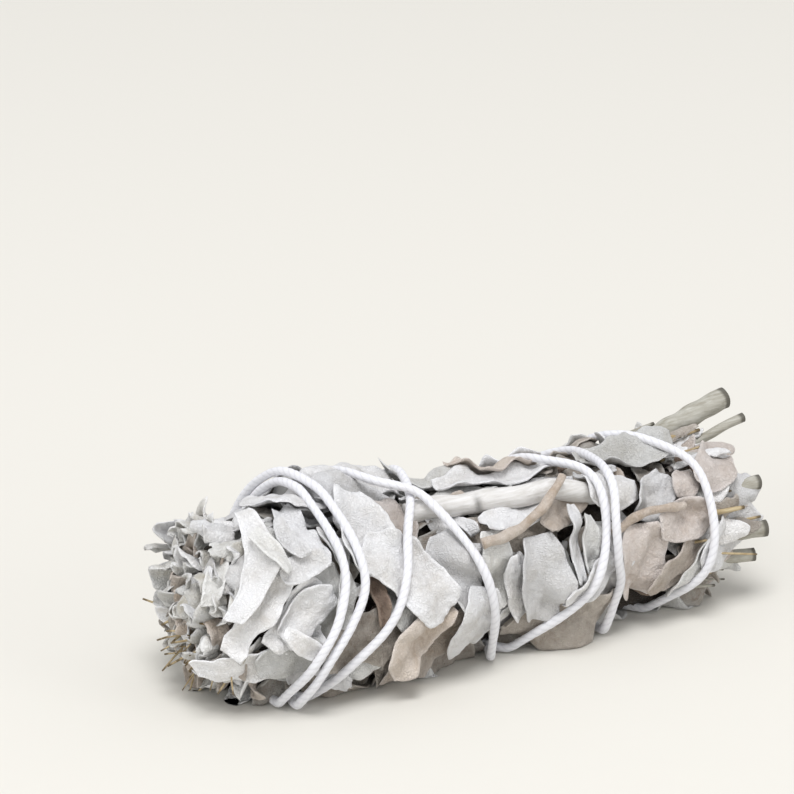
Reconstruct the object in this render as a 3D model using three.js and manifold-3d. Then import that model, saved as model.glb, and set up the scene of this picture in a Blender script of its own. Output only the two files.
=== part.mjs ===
// A dried white sage bunch: leafy sprigs packed into a roll about 10 cm long, wrapped in broad
// leaves and bound by one cotton string that winds to the leaf tips and back to the cut stems.
// Millimetres, +Z up. The bunch lies along X with its leaf tips at -X and its cut stems at +X,
// and rests on z = 0. A place on it is given by x and by an angle from the top (0 degrees),
// through the front, -Y (90 degrees), to the underside (180 degrees).
import * as THREE from "three";
import { mergeVertices } from "three/addons/utils/BufferGeometryUtils.js";
import Module from "manifold-3d";

const wasm = await Module();
wasm.setup();

// Driving dimensions
const TIP_X = -51.5;
const BUTT_X = 44;
const TIP_RADIUS = 17.8;
const BUTT_RADIUS = 16.6;
const AXIS_ABOVE_TABLE = 15.8; // at the tips: the roll is flattened where it lies
const WRAP_DEPTH = 4.9; // from the packed sprigs out to the top of the wrapping leaves
const LEAF_THICKNESS = 0.65;
const STRING_DIAMETER = 1.8;
const GAP = 0.3; // between pieces that touch
const DOME_LENGTH = 13;
const DOME_START_X = -45;
const ORIGIN_X = 1.1; // middle of the whole bunch, stems and leaf tips included
const ORIGIN_Y = -0.7;
const SEED = 20;

const COLOURS = {
  white: 0xdedcd6,
  grey: 0xc3c4bd,
  tan: 0xb8a698,
  pink: 0xc9b8ae,
  taupe: 0x9c8f80,
  brown: 0x77604b,
  stem: 0xc6bda8,
  string: 0xf4f3f6,
};

// The wrapping leaves, lowest first, each from its stalk end to its tip.
const WRAP_LEAVES = [
  { name: "tan_leaf_low_right", from: [24, 118], to: [1, 130], width: 8.5, tone: "taupe" },
  { name: "tan_leaf_low_left", from: [-22, 94], to: [-37, 110], width: 9, tone: "taupe" },
  { name: "tan_leaf_low_middle", from: [-10, 98], to: [-24, 138], width: 9, tone: "tan" },
  { name: "tan_leaf_middle", from: [-14, 87], to: [-26, 116], width: 7.5, tone: "tan" },
  { name: "wrap_leaf_left_side", from: [-11, 48], to: [-9.5, 94], width: 8.5, bow: 0.8 },
  { name: "wrap_leaf_right_side", from: [-3, 54], to: [-3, 104], width: 7.5, tone: "grey" },
  { name: "wrap_leaf_corner", from: [-44, 102], to: [-58, 124], width: 10.5, bow: -1 },
  { name: "wrap_leaf_low_tip", from: [-38, 100], to: [-49, 112], width: 8, tone: "grey" },
  { name: "wrap_leaf_strap", from: [-43.5, 56], to: [-53.5, 102], width: 7, bow: 1 },
  { name: "wrap_leaf_blunt", from: [-35, 70], to: [-46, 88], width: 8.5 },
  { name: "wrap_leaf_wavy", from: [-37.5, 6], to: [-36.5, 56], width: 8.5, bow: 0.6, wave: 0.9 },
  { name: "wrap_leaf_tongue", from: [-35.5, 51], to: [-45, 58], width: 6, wave: 0.8 },
  { name: "wrap_leaf_rim", from: [-45.5, 10], to: [-53.5, 76], width: 6, bow: -1.8, lift: 0.8 },
  { name: "wrap_leaf_shoulder", from: [-42, -14], to: [-29, 12], width: 8.5 },
  { name: "wrap_leaf_top_left", from: [-31, 5], to: [-16, 13], width: 8 },
  { name: "pink_leaf_top", from: [-19, 12], to: [-18, 50], width: 7, tone: "pink" },
  { name: "wrap_leaf_broad_left", from: [-25.5, 12], to: [-26.5, 66], width: 10.5, wave: 0.7 },
  { name: "wrap_leaf_under_string", from: [-28, 48], to: [-13.5, 86], width: 11.5, wave: 0.6 },
  { name: "wrap_leaf_low_left", from: [-7, 83], to: [-10, 128], width: 9 },
  { name: "wrap_leaf_fold", from: [0.5, 70], to: [3.5, 116], width: 6.5, wave: 0.6 },
  { name: "wrap_leaf_broad_middle", from: [6, 62], to: [6.5, 118], width: 10.5, wave: 0.6 },
  { name: "wrap_leaf_triangle", from: [10, 45], to: [-4, 50], width: 7.5 },
  { name: "tan_leaf_slant", from: [7, 60], to: [21, 36], width: 5.5, tone: "tan" },
  { name: "wrap_leaf_low_slant", from: [22, 87], to: [10, 104], width: 6 },
  { name: "wrap_leaf_long", from: [-7, 10], to: [20, 12], width: 6 },
  { name: "tan_leaf_top", from: [-2, -6], to: [16, -2], width: 7, tone: "tan", wave: 0.9 },
  { name: "wrap_leaf_top_right", from: [23, 5], to: [42, 14], width: 8.5, tone: "grey" },
  { name: "wrap_leaf_square", from: [18, 40], to: [30, 46], width: 8 },
  { name: "wrap_leaf_star", from: [38, 36], to: [29, 66], width: 8, wave: 0.7 },
  { name: "pink_leaf_butt", from: [41, 36], to: [39, 58], width: 5.5, tone: "pink" },
  { name: "tan_leaf_broad", from: [28, 68], to: [27, 118], width: 10.5, tone: "pink" },
  { name: "tan_leaf_diagonal", from: [41, 82], to: [30, 118], width: 7.5, tone: "tan" },
  { name: "tan_leaf_round", from: [44, 72], to: [31, 74], width: 8, tone: "pink" },
  { name: "wrap_leaf_last_string", from: [46, 84], to: [35, 126], width: 6.5, tone: "grey" },
  { name: "wrap_leaf_butt", from: [40, 104], to: [54.5, 76], width: 9.5, lift: 0.8 },
  { name: "pink_leaf_end", from: [42, 54], to: [52, 20], width: 8.5, tone: "pink", lift: 0.6 },
];

// Leaf stalks and narrow leaves rolled up on themselves, lying on the outside.
const ROLLED = [
  { name: "rolled_leaf_slant", path: [[-7, 61], [1, 58], [7, 50], [12.5, 37]], diameter: 2.6, tone: "pink" },
  { name: "rolled_leaf_butt", path: [[22, 71], [28, 62], [37, 63]], diameter: 2.0, tone: "tan" },
];

// Cut stems at the butt: where each enters and ends, as x, angle and distance from the axis.
const STEMS = [
  { name: "stem_thick", from: [20, -12, 8.5], to: [60, -18, 18.6], diameter: 4.0 },
  { name: "stem_thin", from: [22, 10, 7], to: [61, -4, 15.2], diameter: 1.7 },
  { name: "stem_forked", from: [20, 88, 6], to: [56, 92, 14.2], diameter: 3.0 },
  { name: "stem_low", from: [20, 130, 6.5], to: [54, 112, 14.6], diameter: 2.4 },
  { name: "stem_front", from: [24, 52, 7.5], to: [55.5, 57, 14.4], diameter: 2.6 },
  { name: "stem_back", from: [20, 215, 5], to: [54, 235, 11], diameter: 3.2 },
  { name: "stem_middle", from: [20, 300, 3.5], to: [53, 290, 4.5], diameter: 3.6 },
];
const OUTER_STEM = { name: "stem_outer", path: [[-15.5, 27], [1, 34], [17, 41], [27, 46]], diameter: 3.8 };

// The string's way round the bunch, from its knot at the back to the tips and back again.
const STRING_TURNS = [
  [36, -120], [33, -60], [33.5, -10], [37, 10], [41, 30], [42.2, 60], [42, 85], [40.5, 105], [36, 132],
  [28, 180], [20, 240], [14, 300], [12.5, 345], [15, 372], [19, 392], [19.6, 415], [17.8, 440],
  [14.6, 460], [9.5, 476], [2, 505], [-4, 560], [-8, 620], [-10.5, 680], [-11.5, 715], [-14.2, 741],
  [-18.2, 764], [-21.7, 791], [-26.5, 814], [-33, 834], [-38, 860], [-41, 900], [-39, 960],
  [-35, 1020], [-33, 1075], [-32.8, 1115], [-33.4, 1148], [-36, 1165], [-39.5, 1180], [-42.5, 1205],
  [-43, 1250], [-40, 1320], [-34, 1400], [-30.5, 1455], [-29.6, 1490], [-30.4, 1515], [-33.5, 1529],
  [-37.5, 1543], [-40.5, 1565], [-39, 1610], [-34, 1670], [-28, 1735], [-23, 1785], [-19, 1810],
  [-14, 1822], [-12, 1835], [-10, 1851], [-7.3, 1874], [-5, 1898], [-2, 1937], [4, 1985], [13, 2050],
  [21, 2110], [25, 2150], [24.2, 2180], [22.2, 2203], [20.2, 2224], [20.6, 2243], [22.3, 2260],
  [22, 2280], [21.5, 2310], [26, 2350], [36, 2400],
];

const rad = THREE.MathUtils.degToRad;

// mulberry32, so that every draw is the same each time
function seeded(seed) {
  let state = seed;
  return () => {
    state = (state + 0x6d2b79f5) | 0;
    let t = Math.imul(state ^ (state >>> 15), 1 | state);
    t = (t + Math.imul(t ^ (t >>> 7), 61 | t)) ^ t;
    return ((t ^ (t >>> 14)) >>> 0) / 4294967296;
  };
}
const random = seeded(SEED);
const between = (low, high) => low + (high - low) * random();

function outerRadius(x) {
  const t = (x - TIP_X) / (BUTT_X - TIP_X);
  return THREE.MathUtils.lerp(TIP_RADIUS, BUTT_RADIUS, THREE.MathUtils.clamp(t, 0, 1.15));
}

function axisHeight(x) {
  return AXIS_ABOVE_TABLE - (TIP_RADIUS - outerRadius(x));
}

// The tips close in to a dome; the string draws in a waist near them.
function packedRadius(x, degrees) {
  let r = outerRadius(x) - WRAP_DEPTH;
  const into = DOME_START_X - x;
  if (into > 0) r *= Math.sqrt(Math.max(0.25, 1 - (into / DOME_LENGTH) ** 2));
  const under = Math.max(0, Math.cos(rad(degrees - 150)));
  r -= 1.6 * Math.exp(-(((x + 38) / 6) ** 2)) * under;
  const a = rad(degrees);
  r += 0.35 * Math.sin(2 * a + x * 0.05) + 0.3 * Math.sin(3 * a - x * 0.11);
  const down = -Math.cos(a);
  if (down < 0.85 || into > 0) return r;
  return Math.max(r, Math.min((axisHeight(x) + 0.8) / down, outerRadius(x) - 1.1));
}

function place(x, degrees, r) {
  const a = rad(degrees);
  return [x - ORIGIN_X, -r * Math.sin(a) - ORIGIN_Y, axisHeight(x) + r * Math.cos(a)];
}

// How far out the bunch reaches so far, on a grid of x and angle.
const CELL_X = 0.5;
const CELL_DEGREES = 2;
const GRID_X0 = -62;
const CELLS_X = 250;
const CELLS_ROUND = 360 / CELL_DEGREES;
const reach = new Float32Array(CELLS_X * CELLS_ROUND);
for (let i = 0; i < CELLS_X; i++)
  for (let j = 0; j < CELLS_ROUND; j++)
    reach[i * CELLS_ROUND + j] = packedRadius(GRID_X0 + i * CELL_X, j * CELL_DEGREES);

function cell(x, degrees) {
  const i = THREE.MathUtils.clamp(Math.round((x - GRID_X0) / CELL_X), 0, CELLS_X - 1);
  const j = ((Math.round(degrees / CELL_DEGREES) % CELLS_ROUND) + CELLS_ROUND) % CELLS_ROUND;
  return i * CELLS_ROUND + j;
}

function reachNear(x, degrees, around) {
  const step = around / 3;
  const mmPerDegree = rad(1) * outerRadius(x);
  let most = 0;
  for (let a = -3; a <= 3; a++)
    for (let b = -3; b <= 3; b++)
      if (a * a + b * b <= 10)
        most = Math.max(most, reach[cell(x + a * step, degrees + (b * step) / mmPerDegree)]);
  return most;
}

function raise(x, degrees, r) {
  const k = cell(x, degrees);
  reach[k] = Math.max(reach[k], r);
}

function solidOf(geometry) {
  geometry.deleteAttribute("normal");
  geometry.deleteAttribute("uv");
  const merged = mergeVertices(geometry, 1e-4);
  const mesh = new wasm.Mesh({
    numProp: 3,
    vertProperties: merged.attributes.position.array,
    triVerts: new Uint32Array(merged.index.array),
  });
  return new wasm.Manifold(mesh);
}

function geometryOf(solid) {
  const mesh = solid.getMesh();
  const position = new THREE.BufferAttribute(new Float32Array(mesh.vertProperties), 3);
  const geometry = new THREE.BufferGeometry().setAttribute("position", position);
  geometry.setIndex(new THREE.BufferAttribute(new Uint32Array(mesh.triVerts), 1));
  return geometry;
}

function largest(solid) {
  const bodies = solid.decompose();
  return bodies.reduce((a, b) => (a.volume() > b.volume() ? a : b));
}

// A closed blade from two like grids of points, split into triangles alike on both faces.
function bladeSolid(top, bottom, along, across) {
  const points = [...top, ...bottom];
  const n = top.length;
  const at = (i, j) => i * (across + 1) + j;
  const index = [];
  const quad = (a, b, c, d) => index.push(a, b, c, a, c, d);
  for (let i = 0; i < along; i++)
    for (let j = 0; j < across; j++) {
      const [a, b, c, d] = [at(i, j), at(i + 1, j), at(i + 1, j + 1), at(i, j + 1)];
      index.push(a, b, c, a, c, d);
      index.push(n + a, n + c, n + b, n + a, n + d, n + c);
    }
  for (let i = 0; i < along; i++) {
    quad(at(i + 1, 0), at(i, 0), n + at(i, 0), n + at(i + 1, 0));
    quad(at(i, across), at(i + 1, across), n + at(i + 1, across), n + at(i, across));
  }
  for (let j = 0; j < across; j++) {
    quad(at(0, j), at(0, j + 1), n + at(0, j + 1), n + at(0, j));
    quad(at(along, j + 1), at(along, j), n + at(along, j), n + at(along, j + 1));
  }
  const geometry = new THREE.BufferGeometry();
  geometry.setAttribute("position", new THREE.Float32BufferAttribute(points.flat(), 3));
  geometry.setIndex(index);
  const solid = solidOf(geometry);
  if (solid.volume() > 0) return solid;
  geometry.setIndex(index.map((v, k) => index[k - (k % 3) + 2 - (k % 3)]));
  return solidOf(geometry);
}

const leafOutline = (t) => Math.sqrt(Math.sin(Math.PI * (0.07 + 0.87 * t)));

// x and angle of a point of a leaf, t along it and u from edge to edge, both on the unrolled surface
function leafSpot(leaf, t, u, margin = 0) {
  const [x0, a0] = leaf.from;
  const [x1, a1] = leaf.to;
  const mmPerDegree = rad(1) * outerRadius((x0 + x1) / 2);
  const dx = x1 - x0;
  const ds = (a1 - a0) * mmPerDegree;
  const length = Math.hypot(dx, ds);
  const long = -margin / length + t * (1 + (2 * margin) / length);
  const half = (leaf.width / 2) * leafOutline(t) + margin;
  const side = (leaf.bow ?? 0) * 4 * t * (1 - t) + u * half;
  const x = x0 + dx * long - (ds / length) * side;
  const degrees = a0 + (ds * long + (dx / length) * side) / mmPerDegree;
  return [x, degrees];
}

// Lays a leaf over what is there: out to the highest point near each of its points, then taut.
function drapeLeaf(leaf, along, across) {
  const rows = [];
  for (let i = 0; i <= along; i++) {
    const row = [];
    for (let j = 0; j <= across; j++) {
      const [x, degrees] = leafSpot(leaf, i / along, (2 * j) / across - 1);
      row.push(reachNear(x, degrees, 1.7) + GAP);
    }
    rows.push(row);
  }
  const rest = rows.map((row) => [...row]);
  const bendAway = Math.cos(rad((leaf.to[1] - leaf.from[1]) / along));
  for (let pass = 0; pass < 3; pass++)
    for (let i = 1; i < along; i++)
      for (let j = 0; j <= across; j++) {
        const chord = ((rows[i - 1][j] + rows[i + 1][j]) / 2) * bendAway;
        rows[i][j] = Math.max(rest[i][j], chord);
      }
  for (let i = 0; i <= along; i++)
    for (let j = 0; j <= across; j++) {
      const [t, u] = [i / along, (2 * j) / across - 1];
      const ripple = 1 + Math.sin(2 * Math.PI * (1.5 * t + 0.25 * u) + leaf.width);
      rows[i][j] += (leaf.wave ?? 0.35) * 0.5 * ripple * u * u + (leaf.lift ?? 0) * t ** 3;
    }
  return rows;
}

function leafSolid(leaf, rows, along, across, margin) {
  const sunk = leaf.rooted ?? 0;
  const top = [];
  const bottom = [];
  for (let i = 0; i <= along; i++)
    for (let j = 0; j <= across; j++) {
      const [x, degrees] = leafSpot(leaf, i / along, (2 * j) / across - 1, margin);
      top.push(place(x, degrees, rows[i][j] + LEAF_THICKNESS + margin));
      bottom.push(place(x, degrees, rows[i][j] - margin - sunk * (1 - (i / along) ** 2)));
    }
  return bladeSolid(top, bottom, along, across);
}

function raiseOverLeaf(leaf, rows, along, across) {
  const [fineAlong, fineAcross] = [70, 28];
  for (let i = 0; i <= fineAlong; i++)
    for (let j = 0; j <= fineAcross; j++) {
      const [fi, fj] = [(i / fineAlong) * along, (j / fineAcross) * across];
      const [a, b] = [Math.min(along - 1, Math.floor(fi)), Math.min(across - 1, Math.floor(fj))];
      const [s, t] = [fi - a, fj - b];
      const lower = THREE.MathUtils.lerp(rows[a][b], rows[a][b + 1], t);
      const upper = THREE.MathUtils.lerp(rows[a + 1][b], rows[a + 1][b + 1], t);
      const r = THREE.MathUtils.lerp(lower, upper, s) + LEAF_THICKNESS;
      const [x, degrees] = leafSpot(leaf, i / fineAlong, (2 * j) / fineAcross - 1);
      raise(x, degrees, r);
    }
}

function layLeaf(leaf, along, across) {
  const rows = drapeLeaf(leaf, along, across);
  const solid = leafSolid(leaf, rows, along, across, 0);
  const envelope = leafSolid(leaf, rows, along, across, GAP);
  raiseOverLeaf(leaf, rows, along, across);
  return { solid, envelope };
}

// A round or squarish rod along a curve
function rodSolid(points, diameter, steps, sides = 7) {
  const curve = new THREE.CatmullRomCurve3(points.map((p) => new THREE.Vector3(...p)));
  const corner = Math.PI / sides;
  const shape = new THREE.Shape();
  for (let k = 0; k < sides; k++) {
    const a = corner + (k * 2 * Math.PI) / sides;
    const [x, y] = [(Math.cos(a) * diameter) / 2, (Math.sin(a) * diameter) / 2];
    if (k) shape.lineTo(x, y);
    else shape.moveTo(x, y);
  }
  const geometry = new THREE.ExtrudeGeometry(shape, { steps, extrudePath: curve, curveSegments: 1 });
  return solidOf(geometry);
}

// Rods on the outside follow the surface of what they lie on.
function outerRodPoints(path, diameter) {
  const curve = new THREE.CatmullRomCurve3(path.map(([x, a]) => new THREE.Vector3(x, a, 0)));
  const spots = curve.getPoints(14);
  const radii = spots.map((p) => reachNear(p.x, p.y, diameter / 2) + diameter / 2 + GAP);
  const rest = [...radii];
  for (let pass = 0; pass < 8; pass++)
    for (let i = 1; i < radii.length - 1; i++)
      radii[i] = Math.max(rest[i], (radii[i - 1] + radii[i + 1]) / 2);
  return { spots, radii };
}

function layRod(rod) {
  const { spots, radii } = outerRodPoints(rod.path, rod.diameter);
  const points = spots.map((p, i) => place(p.x, p.y, radii[i]));
  const solid = rodSolid(points, rod.diameter, 12);
  const envelope = rodSolid(points, rod.diameter + 2 * GAP, 12);
  spots.forEach((p, i) => {
    const mmPerDegree = rad(1) * outerRadius(p.x);
    for (let s = -1; s <= 1; s += 0.25)
      for (let l = -2; l <= 2; l += 0.5) {
        const r = radii[i] + (rod.diameter / 2) * Math.sqrt(Math.max(0, 1 - s * s));
        raise(p.x + l, p.y + (s * rod.diameter) / 2 / mmPerDegree, r);
      }
  });
  return { solid, envelope };
}

function buttStem(stem) {
  const [a, b] = [place(...stem.from), place(...stem.to)];
  const middle = a.map((v, k) => (v + b[k]) / 2 + (k === 2 ? -0.3 : 0));
  const inner = a.map((v, k) => v - ((b[k] - v) * 0.4) / 40);
  const solid = rodSolid([a, middle, b], stem.diameter, 4);
  const envelope = rodSolid([inner, middle, b], stem.diameter + 2 * GAP, 4);
  return { solid, envelope };
}

// The packed sprigs: one body that the tips, stalks and lower leaves stand out of
function packedBody() {
  const [rings, sides] = [14, 18];
  const points = [];
  for (let i = 0; i <= rings; i++) {
    const x = THREE.MathUtils.lerp(TIP_X, BUTT_X, i / rings);
    for (let j = 0; j < sides; j++) {
      const degrees = (360 * j) / sides;
      const crumple = 0.45 * Math.sin(i * 2.1 + j * 1.7) + 0.35 * Math.sin(i * 0.9 - j * 2.9);
      points.push(place(x, degrees, packedRadius(x, degrees) - 0.6 + crumple));
    }
  }
  const tipCentre = points.push(place(TIP_X - 2, 0, 0)) - 1;
  const buttCentre = points.push(place(BUTT_X + 0.5, 0, 0)) - 1;
  const index = [];
  for (let i = 0; i < rings; i++)
    for (let j = 0; j < sides; j++) {
      const k = (j + 1) % sides;
      const [a, b, c, d] = [i * sides + j, i * sides + k, (i + 1) * sides + k, (i + 1) * sides + j];
      index.push(a, c, b, a, d, c);
    }
  for (let j = 0; j < sides; j++) {
    const k = (j + 1) % sides;
    index.push(tipCentre, j, k);
    index.push(buttCentre, rings * sides + k, rings * sides + j);
  }
  const geometry = new THREE.BufferGeometry();
  geometry.setAttribute("position", new THREE.Float32BufferAttribute(points.flat(), 3));
  geometry.setIndex(index);
  let solid = solidOf(geometry);
  if (solid.volume() < 0) {
    geometry.setIndex(index.map((v, n) => index[n - (n % 3) + 2 - (n % 3)]));
    solid = solidOf(geometry);
  }
  return solid;
}

// A small blade that stands out of one end: root, direction, width direction and bend
function standingBlade({ root, out, wide, length, width, bend }) {
  const [along, across] = [2, 2];
  const normal = new THREE.Vector3().crossVectors(out, wide).normalize();
  const top = [];
  const bottom = [];
  for (let i = 0; i <= along; i++)
    for (let j = 0; j <= across; j++) {
      const [t, u] = [i / along, j - 1];
      const half = (width / 2) * (1 - 0.35 * t * t);
      const cup = 0.12 * width * u * u * (t > 0.3 ? 1 : 0.3);
      const p = root
        .clone()
        .addScaledVector(out, length * t * (1 - 0.12 * Math.abs(u)))
        .addScaledVector(wide, u * half)
        .addScaledVector(normal, bend * t * t + cup);
      top.push(p.clone().addScaledVector(normal, LEAF_THICKNESS / 2).toArray());
      bottom.push(p.clone().addScaledVector(normal, -LEAF_THICKNESS / 2).toArray());
    }
  return bladeSolid(top, bottom, along, across);
}

// Folded leaf tips in rings over the domed end
function tipBlades() {
  const rings = [
    { radius: 1.2, count: 3 },
    { radius: 4.6, count: 6 },
    { radius: 8.2, count: 10 },
    { radius: 11.6, count: 13 },
  ];
  const blades = [];
  for (const { radius, count } of rings)
    for (let k = 0; k < count; k++) {
      const degrees = (360 * (k + between(-0.25, 0.25))) / count + radius * 40;
      const far = radius / 13;
      const x = TIP_X + 0.2 + 5.0 * far ** 3;
      const outward = new THREE.Vector3(0, -Math.sin(rad(degrees)), Math.cos(rad(degrees)));
      const lean = rad(8 + 34 * far + between(-10, 10));
      const out = outward.clone().multiplyScalar(Math.sin(lean));
      out.x = -Math.cos(lean);
      const around = new THREE.Vector3().crossVectors(out, outward).normalize();
      const wide = around.applyAxisAngle(out, rad(between(-35, 35)));
      const root = new THREE.Vector3(...place(x, degrees, radius * between(0.94, 1.06)));
      const length = between(5.8, 7.8) - 0.8 * far;
      blades.push({ root, out, wide, length, width: between(5, 6.8), bend: between(-1.2, 0.9) });
    }
  return blades.map(standingBlade);
}

// Cut leaf bases and stalks that stand out of the butt end
function buttBlades() {
  const rings = [
    { radius: 5, count: 4 },
    { radius: 12, count: 12 },
  ];
  const blades = [];
  for (const { radius, count } of rings)
    for (let k = 0; k < count; k++) {
      const degrees = (360 * (k + between(-0.3, 0.3))) / count + radius * 30;
      const outward = new THREE.Vector3(0, -Math.sin(rad(degrees)), Math.cos(rad(degrees)));
      const lean = rad(between(0, 22) * (radius / 11));
      const out = outward.clone().multiplyScalar(Math.sin(lean));
      out.x = Math.cos(lean);
      const around = new THREE.Vector3().crossVectors(out, outward).normalize();
      const wide = around.applyAxisAngle(out, rad(between(-40, 40)));
      const root = new THREE.Vector3(...place(BUTT_X - 3, degrees, radius));
      const length = between(6, 10) * (radius > 10 ? 1.3 : 1);
      blades.push({ root, out, wide, length, width: between(3, 5.6), bend: between(-0.8, 1.2) });
    }
  return blades.map(standingBlade);
}

// The lower leaves cover the packed body all round, their stalk ends sunk into it.
function lowerLeaves() {
  const leaves = [];
  for (let row = 0; row < 5; row++)
    for (let k = 0; k < 6; k++) {
      const x = -37 + row * 19 + between(-2, 2);
      const degrees = 60 * k + 30 * (row % 2) + between(-8, 8);
      const half = between(9, 10.5);
      const turn = rad(between(-50, 50)) + (random() > 0.5 ? Math.PI : 0);
      const round = ((half * Math.sin(turn)) / outerRadius(x)) * (180 / Math.PI);
      leaves.push({
        from: [Math.min(x - half * Math.cos(turn), 47), degrees - round],
        to: [Math.min(x + half * Math.cos(turn), 47), degrees + round],
        width: between(9, 11),
        wave: between(0.3, 0.7),
        lift: between(0, 0.5),
        rooted: 4,
      });
    }
  return leaves;
}

// Broad leaves wrap the back, which the string holds as it does the front.
function backLeaves() {
  const leaves = [];
  for (let row = 0; row < 4; row++)
    for (let k = 0; k < 3; k++) {
      const x = -37 + row * 24 + between(-2, 2) + 6 * (k % 2);
      const degrees = 218 + 44 * k + between(-5, 5);
      const half = between(11, 13.5);
      const turn = rad(between(-32, 32)) + (random() > 0.6 ? Math.PI : 0);
      const round = ((half * Math.sin(turn)) / outerRadius(x)) * (180 / Math.PI);
      const tone = ["white", "grey", "white", "tan", "white", "pink"][(row * 3 + k * 2) % 6];
      leaves.push({
        name: `back_leaf_${String(row * 3 + k + 1).padStart(2, "0")}`,
        from: [Math.min(x - half * Math.cos(turn), 50), degrees - round],
        to: [Math.min(x + half * Math.cos(turn), 50), degrees + round],
        width: between(10.5, 12.5),
        wave: between(0.4, 0.9),
        tone,
      });
    }
  return leaves;
}

// The string: taut over the leaves, above its own earlier turns, and pressed flush at the table
function stringPoints() {
  const way = new THREE.CatmullRomCurve3(STRING_TURNS.map(([x, a]) => new THREE.Vector3(x, a / 10, 0)));
  const turnStep = 15;
  const [first, last] = [STRING_TURNS[0][1], STRING_TURNS.at(-1)[1]];
  const fine = way.getPoints(1500);
  const spots = [];
  for (let a = first, k = 0; a <= last; a += turnStep) {
    while (k < fine.length - 2 && fine[k + 1].y * 10 < a) k++;
    const t = THREE.MathUtils.clamp((a / 10 - fine[k].y) / (fine[k + 1].y - fine[k].y), 0, 1);
    spots.push([THREE.MathUtils.lerp(fine[k].x, fine[k + 1].x, t), a]);
  }
  const radii = spots.map(([x, a]) => reachNear(x, a, 0.9) + STRING_DIAMETER / 2 + 0.35);
  const taut = (rest) => {
    for (let pass = 0; pass < 12; pass++)
      for (let i = 1; i < radii.length - 1; i++)
        radii[i] = Math.max(rest[i], ((radii[i - 1] + radii[i + 1]) / 2) * Math.cos(rad(turnStep)));
  };
  taut([...radii]);
  const over = [...radii];
  const apart = (p, q) => {
    const round = ((((p[1] - q[1]) % 360) + 540) % 360) - 180;
    return Math.hypot(p[0] - q[0], round * rad(1) * outerRadius(p[0]));
  };
  for (let i = 0; i < spots.length; i++)
    for (let j = 0; j < i - 8; j++)
      if (apart(spots[i], spots[j]) < STRING_DIAMETER * 1.3) over[i] = radii[j] + STRING_DIAMETER * 0.9;
  over.forEach((r, i) => (radii[i] = Math.max(radii[i], r)));
  taut([...radii]);
  return spots.map(([x, a], i) => {
    const down = -Math.cos(rad(a));
    const floor = axisHeight(x) - STRING_DIAMETER / 2 - 0.05;
    const r = down > 0.3 ? Math.min(radii[i], floor / down) : radii[i];
    return place(x, a, r);
  });
}

function stringSolid(points, diameter) {
  const perPiece = 42;
  const pieces = [];
  for (let k = 0; k < points.length - 1; k += perPiece) {
    const stretch = points.slice(k, Math.min(points.length, k + perPiece + 1));
    if (stretch.length > 1) pieces.push(rodSolid(stretch, diameter, stretch.length - 1, 5));
  }
  return pieces.reduce((a, b) => a.add(b));
}

// The knot where the string's two ends meet, with the ends left short
function knotSolid(margin) {
  const knot = place(36, 240, outerRadius(36) + 1.2);
  const ball = new THREE.SphereGeometry(1.7 + margin, 7, 4).toNonIndexed();
  ball.scale(1.25, 1, 1).translate(...knot);
  let solid = solidOf(ball);
  for (const [x, a] of [[41, 231], [32, 228]]) {
    const middle = place((36 + x) / 2, 236, outerRadius(36) + 1.9);
    const end = place(x, a, outerRadius(x) + 1.5);
    solid = solid.add(rodSolid([knot, middle, end], STRING_DIAMETER + 2 * margin, 2, 5));
  }
  return solid;
}

function tableCut() {
  return solidOf(new THREE.BoxGeometry(200, 100, 40).toNonIndexed().translate(0, 0, -20));
}

const bunch = new THREE.Group();
function addMesh(name, solid, tone) {
  const material = new THREE.MeshStandardMaterial({ color: COLOURS[tone], roughness: 0.9, metalness: 0 });
  const mesh = new THREE.Mesh(geometryOf(solid), material);
  mesh.name = name;
  bunch.add(mesh);
}

const table = tableCut();
const stems = STEMS.map((stem) => ({ ...stem, ...buttStem(stem) }));
const outerStem = { ...OUTER_STEM, ...layRod(OUTER_STEM) };
const low = lowerLeaves().map((leaf) => layLeaf(leaf, 3, 2));

const layered = [];
for (const leaf of [...WRAP_LEAVES, ...backLeaves()]) layered.push({ ...leaf, ...layLeaf(leaf, 5, 2) });
for (const rod of ROLLED) layered.push({ ...rod, ...layRod(rod) });

const way = stringPoints();
const string = stringSolid(way, STRING_DIAMETER).add(knotSolid(0)).subtract(table);
const stringRoom = stringSolid(way, STRING_DIAMETER + 2 * GAP).add(knotSolid(GAP));

let packed = [...low.map((leaf) => leaf.solid), ...tipBlades(), ...buttBlades()].reduce(
  (a, b) => a.add(b),
  packedBody(),
);
for (const rod of [...stems, outerStem]) packed = packed.subtract(rod.envelope);
packed = largest(packed.subtract(stringRoom).subtract(table));

addMesh("packed_sprigs", packed, "grey");
for (const stem of stems) addMesh(stem.name, stem.solid, "stem");
const outer = largest(outerStem.solid.subtract(stringRoom));
addMesh(outerStem.name, outer, "white");

const touches = (a, b) => {
  const [p, q] = [a.boundingBox(), b.boundingBox()];
  return [0, 1, 2].every((k) => p.min[k] <= q.max[k] && q.min[k] <= p.max[k]);
};
const rooms = [...low, ...stems, outerStem].map((piece) => piece.envelope);
const below = [...rooms, stringRoom, table];
for (const piece of layered) {
  let solid = piece.solid;
  for (const other of below) if (touches(solid, other)) solid = solid.subtract(other);
  if (touches(solid, packed)) solid = solid.subtract(packed);
  if (solid.isEmpty()) throw new Error(`${piece.name} is cut away`);
  solid = largest(solid);
  addMesh(piece.name, solid, piece.tone ?? "white");
  below.push(piece.envelope);
}
addMesh("tie_string", string, "string");

export default bunch;
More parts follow.
